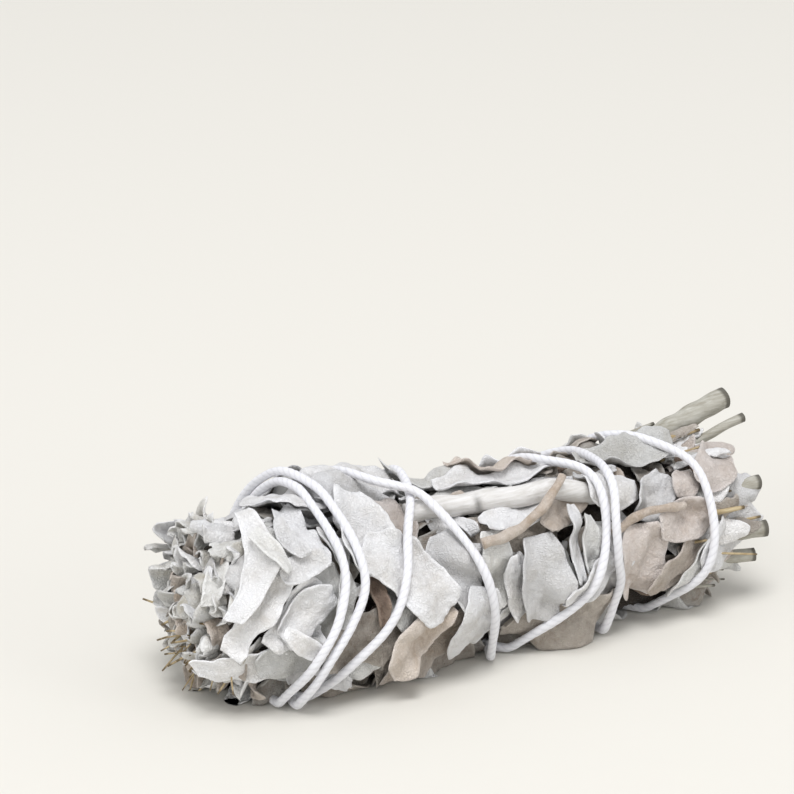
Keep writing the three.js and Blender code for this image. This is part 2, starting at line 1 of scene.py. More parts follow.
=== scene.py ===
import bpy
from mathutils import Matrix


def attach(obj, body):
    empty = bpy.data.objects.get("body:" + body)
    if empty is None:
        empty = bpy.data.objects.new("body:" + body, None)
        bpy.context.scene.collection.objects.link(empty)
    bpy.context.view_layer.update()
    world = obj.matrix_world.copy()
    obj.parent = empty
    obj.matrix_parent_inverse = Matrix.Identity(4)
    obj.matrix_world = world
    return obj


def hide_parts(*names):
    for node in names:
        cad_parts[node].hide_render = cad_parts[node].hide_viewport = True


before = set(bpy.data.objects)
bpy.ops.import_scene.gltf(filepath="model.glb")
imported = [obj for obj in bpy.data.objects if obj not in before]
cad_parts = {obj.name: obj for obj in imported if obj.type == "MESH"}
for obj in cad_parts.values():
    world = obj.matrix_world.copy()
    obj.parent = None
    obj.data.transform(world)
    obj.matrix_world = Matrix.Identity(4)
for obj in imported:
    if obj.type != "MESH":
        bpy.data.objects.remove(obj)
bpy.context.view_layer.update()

from math import cos, pi, radians, sin, sqrt

import bpy
import numpy as np
from mathutils import Vector

# The named values of the part
TIP_X = -51.5
BUTT_X = 44.0
TIP_RADIUS = 17.8
BUTT_RADIUS = 16.6
AXIS_ABOVE_TABLE = 15.8
WRAP_DEPTH = 4.9
STRING_DIAMETER = 1.8
STRING_SEEN = 1.55
CROSSING_RISE = STRING_SEEN * 0.85
DOME_LENGTH = 13.0
DOME_START_X = -45.0
ORIGIN_X = 1.1
ORIGIN_Y = -0.7
SEED = 20
OUTER_STEM_DIAMETER = 3.8
SLANT_ROLL_DIAMETER = 2.1
BUTT_ROLL_DIAMETER = 1.7
STEM_SCAR_FACING = 0.1

# Finer than the part: thinner leaves, so the layers under them are fuller
FINE_FILL = 0.35
LEAF_THICKNESS = 0.46
TIP_THICKNESS = 0.4
LAYER_GAP = 0.07
STRING_PRESS = 0.5
SIDE_LIMIT = 19.4
TOP_LIMIT = 34.9

MM = 0.001


def seeded(seed):
    state = [seed]

    def draw():
        state[0] = (state[0] + 0x6D2B79F5) & 0xFFFFFFFF
        s = state[0]
        t = ((s ^ (s >> 15)) * (1 | s)) & 0xFFFFFFFF
        t = ((t + (((t ^ (t >> 7)) * (61 | t)) & 0xFFFFFFFF)) & 0xFFFFFFFF) ^ t
        return ((t ^ (t >> 14)) & 0xFFFFFFFF) / 4294967296

    return draw


part_draw = seeded(SEED)
rng = np.random.default_rng(7)


def between(low, high):
    return low + (high - low) * part_draw()


def outer_radius(x):
    t = (np.asarray(x, float) - TIP_X) / (BUTT_X - TIP_X)
    return TIP_RADIUS + (BUTT_RADIUS - TIP_RADIUS) * np.clip(t, 0, 1.15)


def axis_height(x):
    return AXIS_ABOVE_TABLE - (TIP_RADIUS - outer_radius(x))


def packed_radius(x, degrees):
    x = np.asarray(x, float)
    a = np.radians(degrees)
    r = outer_radius(x) - WRAP_DEPTH
    into = np.maximum(0, DOME_START_X - x)
    r = r * np.sqrt(np.maximum(0.25, 1 - (into / DOME_LENGTH) ** 2))
    under = np.maximum(0, np.cos(a - radians(150)))
    r = r - 1.6 * np.exp(-(((x + 38) / 6) ** 2)) * under
    r = r + 0.35 * np.sin(2 * a + x * 0.05) + 0.3 * np.sin(3 * a - x * 0.11)
    down = -np.cos(a)
    belly = np.minimum((axis_height(x) + 0.8) / np.maximum(down, 0.5), outer_radius(x) - 1.1)
    flat = (down >= 0.85) & (into <= 0)
    return np.where(flat, np.maximum(r, belly), r)


def place(x, degrees, r):
    a = np.radians(degrees)
    x, r = np.asarray(x, float), np.asarray(r, float)
    return np.stack(
        np.broadcast_arrays(x - ORIGIN_X, -r * np.sin(a) - ORIGIN_Y, axis_height(x) + r * np.cos(a)),
        axis=-1,
    )


# How far out the roll reaches so far
GRID_X0, GRID_DX = -66.0, 0.25
CELLS_X, CELLS_ROUND = 530, 360
grid_x, grid_a = np.meshgrid(
    GRID_X0 + GRID_DX * np.arange(CELLS_X), np.arange(CELLS_ROUND), indexing="ij"
)
front_side = 0.5 + 0.5 * np.tanh((np.cos(np.radians(grid_a - 85)) - 0.35) / 0.15)
top_side = np.exp(-((((grid_a + 15 + 180) % 360 - 180) / 45) ** 2))
reach = packed_radius(grid_x, grid_a) - 0.6 + (FINE_FILL + 0.6) * front_side - 1.1 * top_side
NEIGHBOURS = [(0.0, 0.0)] + [
    (q * cos(k * pi / 4), q * sin(k * pi / 4)) for q in (0.5, 1.0) for k in range(8)
]


def cells(x, degrees):
    i = np.clip(np.rint((x - GRID_X0) / GRID_DX).astype(int), 0, CELLS_X - 1)
    j = np.rint(degrees).astype(int) % CELLS_ROUND
    return i, j


def reach_near(x, degrees, around):
    per_degree = radians(1) * outer_radius(x)
    most = np.zeros(np.shape(x))
    for dx, ds in NEIGHBOURS:
        most = np.maximum(most, reach[cells(x + dx * around, degrees + ds * around / per_degree)])
    return most


def raise_reach(x, degrees, r):
    np.maximum.at(reach, cells(x, degrees), r)


def relax(heights, floor, passes):
    h = heights.copy()
    for _ in range(passes):
        p = np.pad(h, 1, mode="edge")
        h = np.maximum(floor, (p[:-2, 1:-1] + p[2:, 1:-1] + p[1:-1, :-2] + p[1:-1, 2:]) / 4)
    return h


def soften(values, passes):
    v = values.copy()
    for _ in range(passes):
        p = np.pad(v, 1, mode="edge")
        v = (p[:-2, 1:-1] + p[2:, 1:-1] + p[1:-1, :-2] + p[1:-1, 2:] + 4 * v) / 8
    return v


def waves(a, b, scale, count=5):
    """Smooth random heights of about -1 to 1 over two lengths in millimetres."""
    total = np.zeros(np.shape(a))
    for _ in range(count):
        turn, phase = rng.uniform(0, 2 * pi, 2)
        k = 2 * pi / (scale * rng.uniform(0.7, 1.6))
        total = total + np.sin(k * (a * cos(turn) + b * sin(turn)) + phase)
    return total / sqrt(count)


def jagged(along, step):
    """Straight stretches between random heights of -1 to 1, as a dry margin breaks"""
    knots = np.arange(0, float(np.max(along)) + 2 * step, step)
    knots[1:-1] += rng.uniform(-0.35, 0.35, len(knots) - 2) * step
    return np.interp(along, knots, rng.uniform(-1, 1, len(knots)))


# Materials

def node(tree, kind, **values):
    n = tree.nodes.new(kind)
    for key, value in values.items():
        if key in n.inputs:
            n.inputs[key].default_value = value
        else:
            setattr(n, key, value)
    return n


def ramp(tree, factor, stops):
    n = tree.nodes.new("ShaderNodeValToRGB")
    tree.links.new(factor, n.inputs["Fac"])
    e = n.color_ramp.elements
    while len(e) < len(stops):
        e.new(0.5)
    for element, (position, colour) in zip(e, stops):
        element.position = position
        element.color = (*colour, 1) if len(colour) == 3 else colour
    return n.outputs["Color"]


def grey(v):
    return (v, v, v)


def mix(tree, factor, a, b, kind="MIX"):
    n = tree.nodes.new("ShaderNodeMix")
    n.data_type = "RGBA"
    n.blend_type = kind
    for socket, value in (("Factor", factor), ("A", a), ("B", b)):
        found = [s for s in n.inputs if s.name == socket and s.enabled]
        target = found[0]
        if isinstance(value, (tuple, list)):
            target.default_value = (*value, 1) if len(value) == 3 else value
        elif isinstance(value, (int, float)):
            target.default_value = value
        else:
            tree.links.new(value, target)
    return [s for s in n.outputs if s.enabled][0]


def maths(tree, operation, a, b=None):
    n = tree.nodes.new("ShaderNodeMath")
    n.operation = operation
    for k, value in enumerate((a, b)):
        if value is None:
            continue
        if isinstance(value, (int, float)):
            n.inputs[k].default_value = value
        else:
            tree.links.new(value, n.inputs[k])
    return n.outputs[0]


def noise(tree, vector, scale, detail=3.0, rough=0.55, distortion=0.0):
    n = node(tree, "ShaderNodeTexNoise", Scale=scale, Detail=detail, Roughness=rough)
    n.inputs["Distortion"].default_value = distortion
    tree.links.new(vector, n.inputs["Vector"])
    return n.outputs["Fac"]


def new_material(name, roughness, sheen=0.0, sheen_rough=0.4):
    m = bpy.data.materials.new(name)
    m.use_nodes = True
    tree = m.node_tree
    bsdf = tree.nodes["Principled BSDF"]
    bsdf.inputs["Roughness"].default_value = roughness
    bsdf.inputs["Specular IOR Level"].default_value = 0.25
    bsdf.inputs["Sheen Weight"].default_value = sheen
    bsdf.inputs["Sheen Roughness"].default_value = sheen_rough
    coords = tree.nodes.new("ShaderNodeTexCoord").outputs["Object"]
    return m, tree, bsdf, coords


def leaf_material(name, pale, base, stain_and_crevice_shade, worn):
    """Dry felted leaf: pale rims painted as a highlight, side veins, stains where the felt is worn off, and
    painted shade in the crevices of the felt.
    """
    m, tree, bsdf, coords = new_material(name, 0.88, sheen=0.12, sheen_rough=0.55)
    link = tree.links.new
    # rim: mask along the leaf's edges, for the painted highlight there
    rim = node(tree, "ShaderNodeAttribute", attribute_name="rim").outputs["Fac"]
    vary = node(tree, "ShaderNodeAttribute", attribute_name="vary").outputs["Fac"]
    blade = node(tree, "ShaderNodeAttribute", attribute_name="blade").outputs["Vector"]
    split = tree.nodes.new("ShaderNodeSeparateXYZ")
    link(blade, split.inputs[0])
    shift = node(tree, "ShaderNodeCombineXYZ")
    link(maths(tree, "MULTIPLY", vary, 3.7), shift.inputs[0])
    moved = node(tree, "ShaderNodeVectorMath", operation="ADD")
    link(coords, moved.inputs[0])
    link(shift.outputs[0], moved.inputs[1])
    at = moved.outputs[0]

    broad = noise(tree, at, 120, 4, 0.6)
    fine = noise(tree, at, 700, 5, 0.65, 0.4)
    grain = noise(tree, at, 4200, 3, 0.6)
    patches = ramp(tree, broad, [(0.5 - 0.28 * worn, grey(0)), (0.84 - 0.2 * worn, grey(1))])
    colour = mix(tree, patches, base, stain_and_crevice_shade)
    mottled = ramp(tree, fine, [(0.36, grey(0)), (0.66, grey(1))])
    colour = mix(tree, maths(tree, "MULTIPLY", mottled, 0.5), colour, pale)
    specks = ramp(tree, noise(tree, at, 1500, 4, 0.7), [(0.66, grey(0)), (0.74, grey(1))])
    colour = mix(tree, maths(tree, "MULTIPLY", specks, 0.45), colour, tuple(0.45 * c for c in stain_and_crevice_shade))

    # side veins run out from the midrib towards the tip
    across = maths(tree, "ABSOLUTE", split.outputs[1])
    run = maths(tree, "SUBTRACT", split.outputs[0], maths(tree, "MULTIPLY", across, 0.75))
    run = maths(tree, "ADD", run, maths(tree, "MULTIPLY", broad, 1.1))
    cycle = maths(tree, "PINGPONG", run, 1.05)
    side_vein = ramp(tree, cycle, [(0.0, grey(1)), (0.14, grey(0))])
    midrib = ramp(tree, across, [(0.0, grey(1)), (0.3, grey(0))])
    veins = maths(tree, "MAXIMUM", side_vein, midrib)
    colour = mix(tree, maths(tree, "MULTIPLY", veins, 0.05), colour, pale)
    # painted highlight: towards its rims the leaf is coloured with the pale tone
    colour = mix(tree, maths(tree, "MULTIPLY", rim, 0.62), colour, pale)
    cells_node = node(tree, "ShaderNodeTexVoronoi", Scale=1900.0, feature="DISTANCE_TO_EDGE")
    warped = node(tree, "ShaderNodeTexNoise", Scale=900.0, Detail=2.0)
    link(at, warped.inputs["Vector"])
    bent = node(tree, "ShaderNodeVectorMath", operation="MULTIPLY_ADD")
    bent.inputs[1].default_value = (0.0012, 0.0012, 0.0012)
    link(warped.outputs["Color"], bent.inputs[0])
    link(at, bent.inputs[2])
    link(bent.outputs[0], cells_node.inputs["Vector"])
    net = ramp(tree, cells_node.outputs["Distance"], [(0.0, grey(0)), (0.22, grey(1))])
    # painted shade: darker lines in the crevices between the felt's cells, towards the colour of the stains
    painted_crevice_shade = maths(tree, "MULTIPLY", maths(tree, "SUBTRACT", 1.0, net), mottled)
    colour = mix(tree, maths(tree, "MULTIPLY", painted_crevice_shade, 0.16), colour, tuple(0.62 * c for c in stain_and_crevice_shade))
    bright = maths(tree, "ADD", maths(tree, "MULTIPLY", vary, 0.34), 0.8)
    scaled = node(tree, "ShaderNodeHueSaturation")
    link(bright, scaled.inputs["Value"])
    link(colour, scaled.inputs["Color"])
    link(scaled.outputs[0], bsdf.inputs["Base Color"])

    height = maths(tree, "MULTIPLY", veins, 0.18)
    height = maths(tree, "ADD", height, maths(tree, "MULTIPLY", net, 0.42))
    height = maths(tree, "ADD", height, maths(tree, "MULTIPLY", fine, 1.5))
    height = maths(tree, "ADD", height, maths(tree, "MULTIPLY", grain, 0.35))
    bump = node(tree, "ShaderNodeBump", Strength=0.8, Distance=0.0003)
    link(height, bump.inputs["Height"])
    link(bump.outputs[0], bsdf.inputs["Normal"])
    return m


def stem_material(name, pale, dark):
    m, tree, bsdf, coords = new_material(name, 0.82)
    link = tree.links.new
    stretch = node(tree, "ShaderNodeMapping", Scale=(90.0, 1600.0, 1600.0))
    link(coords, stretch.inputs["Vector"])
    fibre = noise(tree, stretch.outputs[0], 1.0, 4, 0.6)
    blotch = noise(tree, coords, 260, 4, 0.6)
    end = node(tree, "ShaderNodeAttribute", attribute_name="rim").outputs["Fac"]
    colour = mix(tree, ramp(tree, fibre, [(0.3, grey(0)), (0.7, grey(1))]), dark, pale)
    colour = mix(tree, ramp(tree, blotch, [(0.55, grey(0)), (0.72, grey(0.75))]), colour, dark)
    colour = mix(tree, end, colour, tuple(0.32 * c for c in dark))
    link(colour, bsdf.inputs["Base Color"])
    bump = node(tree, "ShaderNodeBump", Strength=0.6, Distance=0.0003)
    link(fibre, bump.inputs["Height"])
    link(bump.outputs[0], bsdf.inputs["Normal"])
    return m


def string_material():
    m, tree, bsdf, coords = new_material("cotton_string", 0.9, sheen=0.35, sheen_rough=0.35)
    link = tree.links.new
    # painted shade: the ply mask colours the grooves between the plies darker than their crests
    ply = node(tree, "ShaderNodeAttribute", attribute_name="rim").outputs["Fac"]
    soil = noise(tree, coords, 90, 4, 0.6)
    fibre = noise(tree, coords, 5200, 4, 0.7)
    colour = ramp(tree, ply, [(0.0, (0.64, 0.64, 0.67)), (0.4, (0.76, 0.76, 0.79)), (1.0, (0.80, 0.80, 0.83))])
    colour = mix(tree, ramp(tree, soil, [(0.62, grey(0)), (0.8, grey(0.35))]), colour, (0.62, 0.59, 0.55))
    link(colour, bsdf.inputs["Base Color"])
    bump = node(tree, "ShaderNodeBump", Strength=0.45, Distance=0.0002)
    link(fibre, bump.inputs["Height"])
    link(bump.outputs[0], bsdf.inputs["Normal"])
    return m


# pale tone of the mottling and veins, also painted along the rims as a highlight; base; colour of the stains,
# which also darkens the felt's crevices as painted shade; and how much of the felt is worn off
LEAF_LOOKS = {
    "white": ((0.88, 0.88, 0.89), (0.76, 0.76, 0.77), (0.54, 0.51, 0.47), 0.4),
    "grey": ((0.82, 0.82, 0.81), (0.66, 0.66, 0.65), (0.48, 0.46, 0.41), 0.5),
    "pink": ((0.78, 0.73, 0.70), (0.64, 0.58, 0.54), (0.48, 0.40, 0.34), 0.7),
    "tan": ((0.68, 0.62, 0.57), (0.52, 0.46, 0.40), (0.36, 0.28, 0.21), 0.8),
    "taupe": ((0.56, 0.52, 0.47), (0.39, 0.35, 0.31), (0.24, 0.20, 0.16), 0.8),
    "brown": ((0.30, 0.23, 0.18), (0.17, 0.12, 0.09), (0.08, 0.05, 0.035), 0.8),
    "tip": ((0.86, 0.86, 0.86), (0.64, 0.64, 0.63), (0.44, 0.39, 0.28), 0.5),
    # under: darker than the grey leaf, for the leaves that lie beneath the others; painted shade for the gaps
    # between them
    "under": ((0.56, 0.55, 0.52), (0.36, 0.34, 0.31), (0.20, 0.15, 0.11), 0.7),
    # the near-black core tone is painted shade for the deep gaps between the leaves
    "painted_shade_core": ((0.12, 0.10, 0.08), (0.05, 0.04, 0.03), (0.03, 0.02, 0.015), 0.7),
}
MATERIALS = {tone: leaf_material(f"leaf_{tone}", *looks) for tone, looks in LEAF_LOOKS.items()}
MATERIALS["stem"] = stem_material("stem_wood", (0.50, 0.49, 0.44), (0.27, 0.25, 0.20))
MATERIALS["outer"] = stem_material("stem_felted", (0.76, 0.75, 0.74), (0.56, 0.54, 0.51))
MATERIALS["straw"] = stem_material("straw", (0.56, 0.47, 0.30), (0.33, 0.24, 0.13))
MATERIALS["string"] = string_material()

# Meshes

groove = np.zeros((CELLS_X, CELLS_ROUND))


def held_in(values, limit, give=1.2):
    """Eases what stands out past a limit back to within a little of it"""
    return np.where(values > limit, limit + give * np.tanh((values - limit) / give), values)


def press(points):
    """Draws in what the string holds, and flattens what the table carries."""
    p = np.array(points, float)
    x = p[..., 0] + ORIGIN_X
    dy, dz = -(p[..., 1] + ORIGIN_Y), p[..., 2] - axis_height(x)
    r = np.hypot(dy, dz)
    degrees = np.degrees(np.arctan2(dy, dz)) % 360
    f = (x - GRID_X0) / GRID_DX
    i = np.clip(np.floor(f).astype(int), 0, CELLS_X - 2)
    s = np.clip(f - i, 0, 1)
    j = np.floor(degrees).astype(int) % CELLS_ROUND
    k = (j + 1) % CELLS_ROUND
    t = degrees - np.floor(degrees)
    depth = (groove[i, j] * (1 - s) + groove[i + 1, j] * s) * (1 - t)
    depth += (groove[i, k] * (1 - s) + groove[i + 1, k] * s) * t
    kept = r - depth * np.clip((r - 8) / 6, 0, 1)
    scale = kept / np.maximum(r, 1e-6)
    y = -dy * scale - ORIGIN_Y
    p[..., 1] = np.sign(y) * held_in(np.abs(y), SIDE_LIMIT)
    z = held_in(axis_height(x) + dz * scale, TOP_LIMIT)
    p[..., 2] = np.maximum(z, 0.04 + 0.02 * rng.random())
    return p


def mesh_piece(name, points, faces, tone, rim, vary, blade, nodes=()):
    """points in millimetres; faces as arrays of equal width, or lists of such arrays"""
    if not isinstance(faces, list):
        faces = [faces]
    mesh = bpy.data.meshes.new(name)
    mesh.vertices.add(len(points))
    mesh.vertices.foreach_set("co", (np.asarray(points) * MM).astype(np.float32).ravel())
    loops = np.concatenate([f.ravel() for f in faces])
    totals = np.concatenate([np.full(len(f), f.shape[1]) for f in faces])
    mesh.loops.add(len(loops))
    mesh.loops.foreach_set("vertex_index", loops.astype(np.int32))
    mesh.polygons.add(len(totals))
    starts = np.concatenate([[0], np.cumsum(totals)[:-1]])
    mesh.polygons.foreach_set("loop_start", starts.astype(np.int32))
    mesh.polygons.foreach_set("use_smooth", np.ones(len(totals), bool))
    # rim carries the leaf-edge mask for the painted highlight, the string's ply mask for its painted groove
    # shade, and the stems' end and scar marks
    for key, values in (("rim", rim), ("vary", vary), ("blade", blade)):
        values = np.asarray(values, np.float32)
        kind = "FLOAT_VECTOR" if values.ndim == 2 else "FLOAT"
        layer = mesh.attributes.new(key, kind, "POINT")
        layer.data.foreach_set("vector" if kind == "FLOAT_VECTOR" else "value", values.ravel())
    mesh.update(calc_edges=True)
    mesh.validate()
    piece = bpy.data.objects.new(name, mesh)
    bpy.context.scene.collection.objects.link(piece)
    mesh.materials.append(MATERIALS[tone])
    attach(piece, "root")
    if nodes:
        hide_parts(*nodes)
    return piece


def grid_faces(n, m, start=0):
    i, j = np.meshgrid(np.arange(n - 1), np.arange(m - 1), indexing="ij")
    a = (i * m + j).ravel() + start
    return np.stack([a, a + m, a + m + 1, a + 1], axis=1)


def sheet_mesh(mid, thickness, rim, blade):
    """A closed leaf from its middle surface: both faces and a rounded rim between them."""
    n, m = mid.shape[:2]
    along = np.gradient(mid, axis=0)
    across = np.gradient(mid, axis=1)
    normal = np.cross(across, along)
    normal /= np.maximum(np.linalg.norm(normal, axis=-1, keepdims=True), 1e-9)
    t = np.linspace(0, 1, n)[:, None]
    u = np.linspace(-1, 1, m)[None, :]
    round_off = np.sqrt(np.clip(1.06 - np.abs(u) ** 10, 0, 1)) * np.sqrt(
        np.clip(1.06 - np.abs(2 * t - 1) ** 16, 0, 1)
    )
    h = (thickness / 2 * round_off)[..., None]
    points = np.concatenate([(mid + normal * h).reshape(-1, 3), (mid - normal * h).reshape(-1, 3)])
    upper = grid_faces(n, m)
    lower = grid_faces(n, m, n * m)[:, ::-1]
    edge = np.concatenate(
        [
            np.arange(m),
            np.arange(1, n) * m + m - 1,
            (n - 1) * m + np.arange(m - 2, -1, -1),
            np.arange(n - 2, 0, -1) * m,
        ]
    )
    turn = np.roll(edge, -1)
    sides = np.stack([edge, turn, turn + n * m, edge + n * m], axis=1)
    rims = np.tile(rim.ravel(), 2)
    blades = np.tile(blade.reshape(-1, 3), (2, 1))
    return points, np.concatenate([upper, lower, sides]), rims, blades


def leaf_half_width(t):
    return np.sin(pi * (0.07 + 0.87 * t)) ** 0.42


class Leaf:
    """A leaf laid on the roll; its mesh is made once the string lies on all of them."""

    def __init__(self, start, end, width, tone="white", node=None, bow=0.0, lift=0.0, wave=0.35,
                 curl=(0.0, 0.0), creases=None, sink=0.0, ragged=1.0, around=0.8, passes=22):
        self.node, self.tone = node, tone
        self.vary = rng.random()
        x0, a0 = start
        x1, a1 = end
        per_degree = radians(1) * float(outer_radius((x0 + x1) / 2))
        dx, ds = x1 - x0, (a1 - a0) * per_degree
        length = sqrt(dx * dx + ds * ds)
        n = max(14, int(length / 0.42))
        m = max(13, int(width / 0.36)) | 1
        t, u = np.meshgrid(np.linspace(0, 1, n), np.linspace(-1, 1, m), indexing="ij")
        edge_l, edge_r = (
            1 + 0.13 * ragged * jagged(t * length, 3.4) + 0.035 * ragged * jagged(t * length, 1.1)
            for _ in range(2)
        )
        half = width / 2 * leaf_half_width(t) * np.where(u < 0, edge_l, edge_r)
        s = u * half
        arc = t * length
        # rolled margins
        lift_by = np.zeros_like(s)
        side = s.copy()
        for sign, amount in ((-1, curl[0]), (1, curl[1])):
            if abs(amount) < 0.02:
                continue
            on = np.sign(u) == sign
            turn = amount * (0.75 + 0.35 * waves(arc, 0 * arc, 7.0, 3))
            band = np.minimum(0.42 * half, 1.5)
            over = np.clip(np.abs(s) - (half - band), 0, None)
            safe = np.where(np.abs(turn) < 0.05, 0.05, turn)
            phi = safe * over / np.maximum(band, 1e-6)
            radius = band / safe
            side = np.where(on & (over > 0), sign * (half - band + radius * np.sin(phi)), side)
            lift_by = np.where(on & (over > 0), radius * (1 - np.cos(phi)), lift_by)
        bend = bow * 4 * t * (1 - t) + 0.05 * width * waves(t * length, 0 * t, 14, 2)
        x = x0 + dx * t - ds / length * (side + bend)
        a = a0 + (ds * t + dx / length * (side + bend)) / per_degree
        base = reach_near(x, a, around) + LAYER_GAP - sink
        lying = relax(base, base, passes)
        lying = soften(lying, 2) + 0.03
        # creases, ruffles and what stands up
        height = 0.12 * (waves(t * length, s, 4.2) + 1) + 0.06 * waves(t * length, s, 1.5)
        count = rng.integers(3, 7) if creases is None else creases
        for _ in range(count):
            turn = rng.uniform(-0.7, 0.7)
            c = rng.uniform(-0.4, 0.4) * width
            line = (s - c) * cos(turn) - (t - 0.5) * length * sin(turn)
            sharp = rng.uniform(0.25, 0.9)
            amount = rng.uniform(-0.26, 0.38)
            height = height + amount * np.exp(-np.abs(line) / sharp)
        for _ in range(rng.integers(1, 3)):
            turn = rng.uniform(-1.2, 1.2)
            line = (s - rng.uniform(-0.35, 0.35) * width) * cos(turn)
            line = line - (t - rng.uniform(0.3, 0.7)) * length * sin(turn)
            height = height + rng.uniform(0.08, 0.24) * np.minimum(np.abs(line), 3.2)
        ruffle = 1 + np.sin(2 * pi * (t * length / rng.uniform(4, 7)) + 0.8 * u + rng.uniform(0, 6))
        height = height + wave * 0.5 * ruffle * u * u + lift * t**3
        self.r = lying + height + LEAF_THICKNESS / 2
        self.x, self.a, self.up = x, a, lift_by
        away = np.minimum(np.minimum(half - np.abs(s), t * length), (1 - t) * length)
        # edge band that the leaf material paints as a highlight
        self.rim = np.clip(1 - away / 0.55, 0, 1) ** 0.8
        self.blade = np.stack([t * length, s, 0 * s], axis=-1)
        flat = np.minimum(height, 0.45)
        top = lying + flat + LEAF_THICKNESS
        for f in (0.0, 0.33, 0.66):
            xs = x[:-1] * (1 - f) + x[1:] * f
            as_ = a[:-1] * (1 - f) + a[1:] * f
            rs = top[:-1] * (1 - f) + top[1:] * f
            for g in (0.0, 0.5):
                raise_reach(
                    xs[:, :-1] * (1 - g) + xs[:, 1:] * g,
                    as_[:, :-1] * (1 - g) + as_[:, 1:] * g,
                    rs[:, :-1] * (1 - g) + rs[:, 1:] * g,
                )

    def mesh(self):
        mid = press(place(self.x, self.a, self.r + self.up))
        return sheet_mesh(mid, LEAF_THICKNESS, self.rim, self.blade)


def join_sheets(name, sheets, tone, nodes=(), varies=None, lowest=0.05):
    """One piece from sheets of one tone"""
    points, faces, rims, blades, vary = [], [], [], [], []
    start = 0
    for k, (p, f, r, b) in enumerate(sheets):
        points.append(p)
        faces.append(f + start)
        rims.append(r)
        blades.append(b)
        vary.append(np.full(len(p), rng.random() if varies is None else varies[k]))
        start += len(p)
    p = np.concatenate(points)
    p[:, 2] = np.maximum(p[:, 2], lowest)
    rim, vary, blade = (np.concatenate(parts) for parts in (rims, vary, blades))
    return mesh_piece(name, p, np.concatenate(faces), tone, rim, vary, blade, nodes)


def build_leaves(name, leaves, tone, nodes):
    meshes = [leaf.mesh() for leaf in leaves]
    return join_sheets(name, meshes, tone, nodes, [leaf.vary for leaf in leaves], 0.02)


def frames_along(path):
    """Tangents and two normals carried along a path without twisting"""
    tangent = np.gradient(path, axis=0)
    tangent /= np.linalg.norm(tangent, axis=1, keepdims=True)
    first = np.cross(tangent[0], (0.0, 0.3, 1.0))
    first /= np.linalg.norm(first)
    side = np.empty_like(path)
    side[0] = first
    for k in range(1, len(path)):
        v = side[k - 1] - tangent[k] * np.dot(side[k - 1], tangent[k])
        side[k] = v / np.linalg.norm(v)
    return tangent, side, np.cross(tangent, side)


def tube_faces(n, m):
    """n rings of m points, then a point for each end"""
    i, j = np.meshgrid(np.arange(n - 1), np.arange(m), indexing="ij")
    a = (i * m + j).ravel()
    b = (i * m + (j + 1) % m).ravel()
    k = np.arange(m)
    start = np.stack([np.full(m, n * m), (k + 1) % m, k], axis=1)
    end = np.stack([np.full(m, n * m + 1), (n - 1) * m + k, (n - 1) * m + (k + 1) % m], axis=1)
    return [np.stack([a, b, b + m, a + m], axis=1), np.concatenate([start, end])]


def tube_mesh(path, radii):
    """A closed tube: radii is one row of radii round each point of the path"""
    n, m = radii.shape
    _, side, other = frames_along(path)
    phi = np.linspace(0, 2 * pi, m, endpoint=False)
    ring = side[:, None] * np.cos(phi)[None, :, None] + other[:, None] * np.sin(phi)[None, :, None]
    points = path[:, None] + ring * radii[..., None]
    ends = np.array([path[0], path[-1]])
    return np.concatenate([points.reshape(-1, 3), ends]), tube_faces(n, m)


def hermite(t, h, a, slope_a, b, slope_b):
    """Between a and b, h apart, with their slopes"""
    return (
        (2 * t**3 - 3 * t**2 + 1) * a + (t**3 - 2 * t**2 + t) * h * slope_a
        + (-2 * t**3 + 3 * t**2) * b + (t**3 - t**2) * h * slope_b
    )


def smooth_path(knots, count):
    """A curve through a few points, close to evenly spaced"""
    k = np.asarray(knots, float)
    d = np.linalg.norm(np.diff(k, axis=0), axis=1) ** 0.5
    s = np.concatenate([[0], np.cumsum(d)])
    tangent = np.gradient(k, s, axis=0) if len(k) > 2 else np.repeat(((k[-1] - k[0]) / s[-1])[None], len(k), 0)
    out = []
    for q in np.linspace(0, s[-1], count):
        i = min(np.searchsorted(s, q, side="right") - 1, len(k) - 2)
        h = s[i + 1] - s[i]
        out.append(hermite((q - s[i]) / h, h, k[i], tangent[i], k[i + 1], tangent[i + 1]))
    return np.array(out)


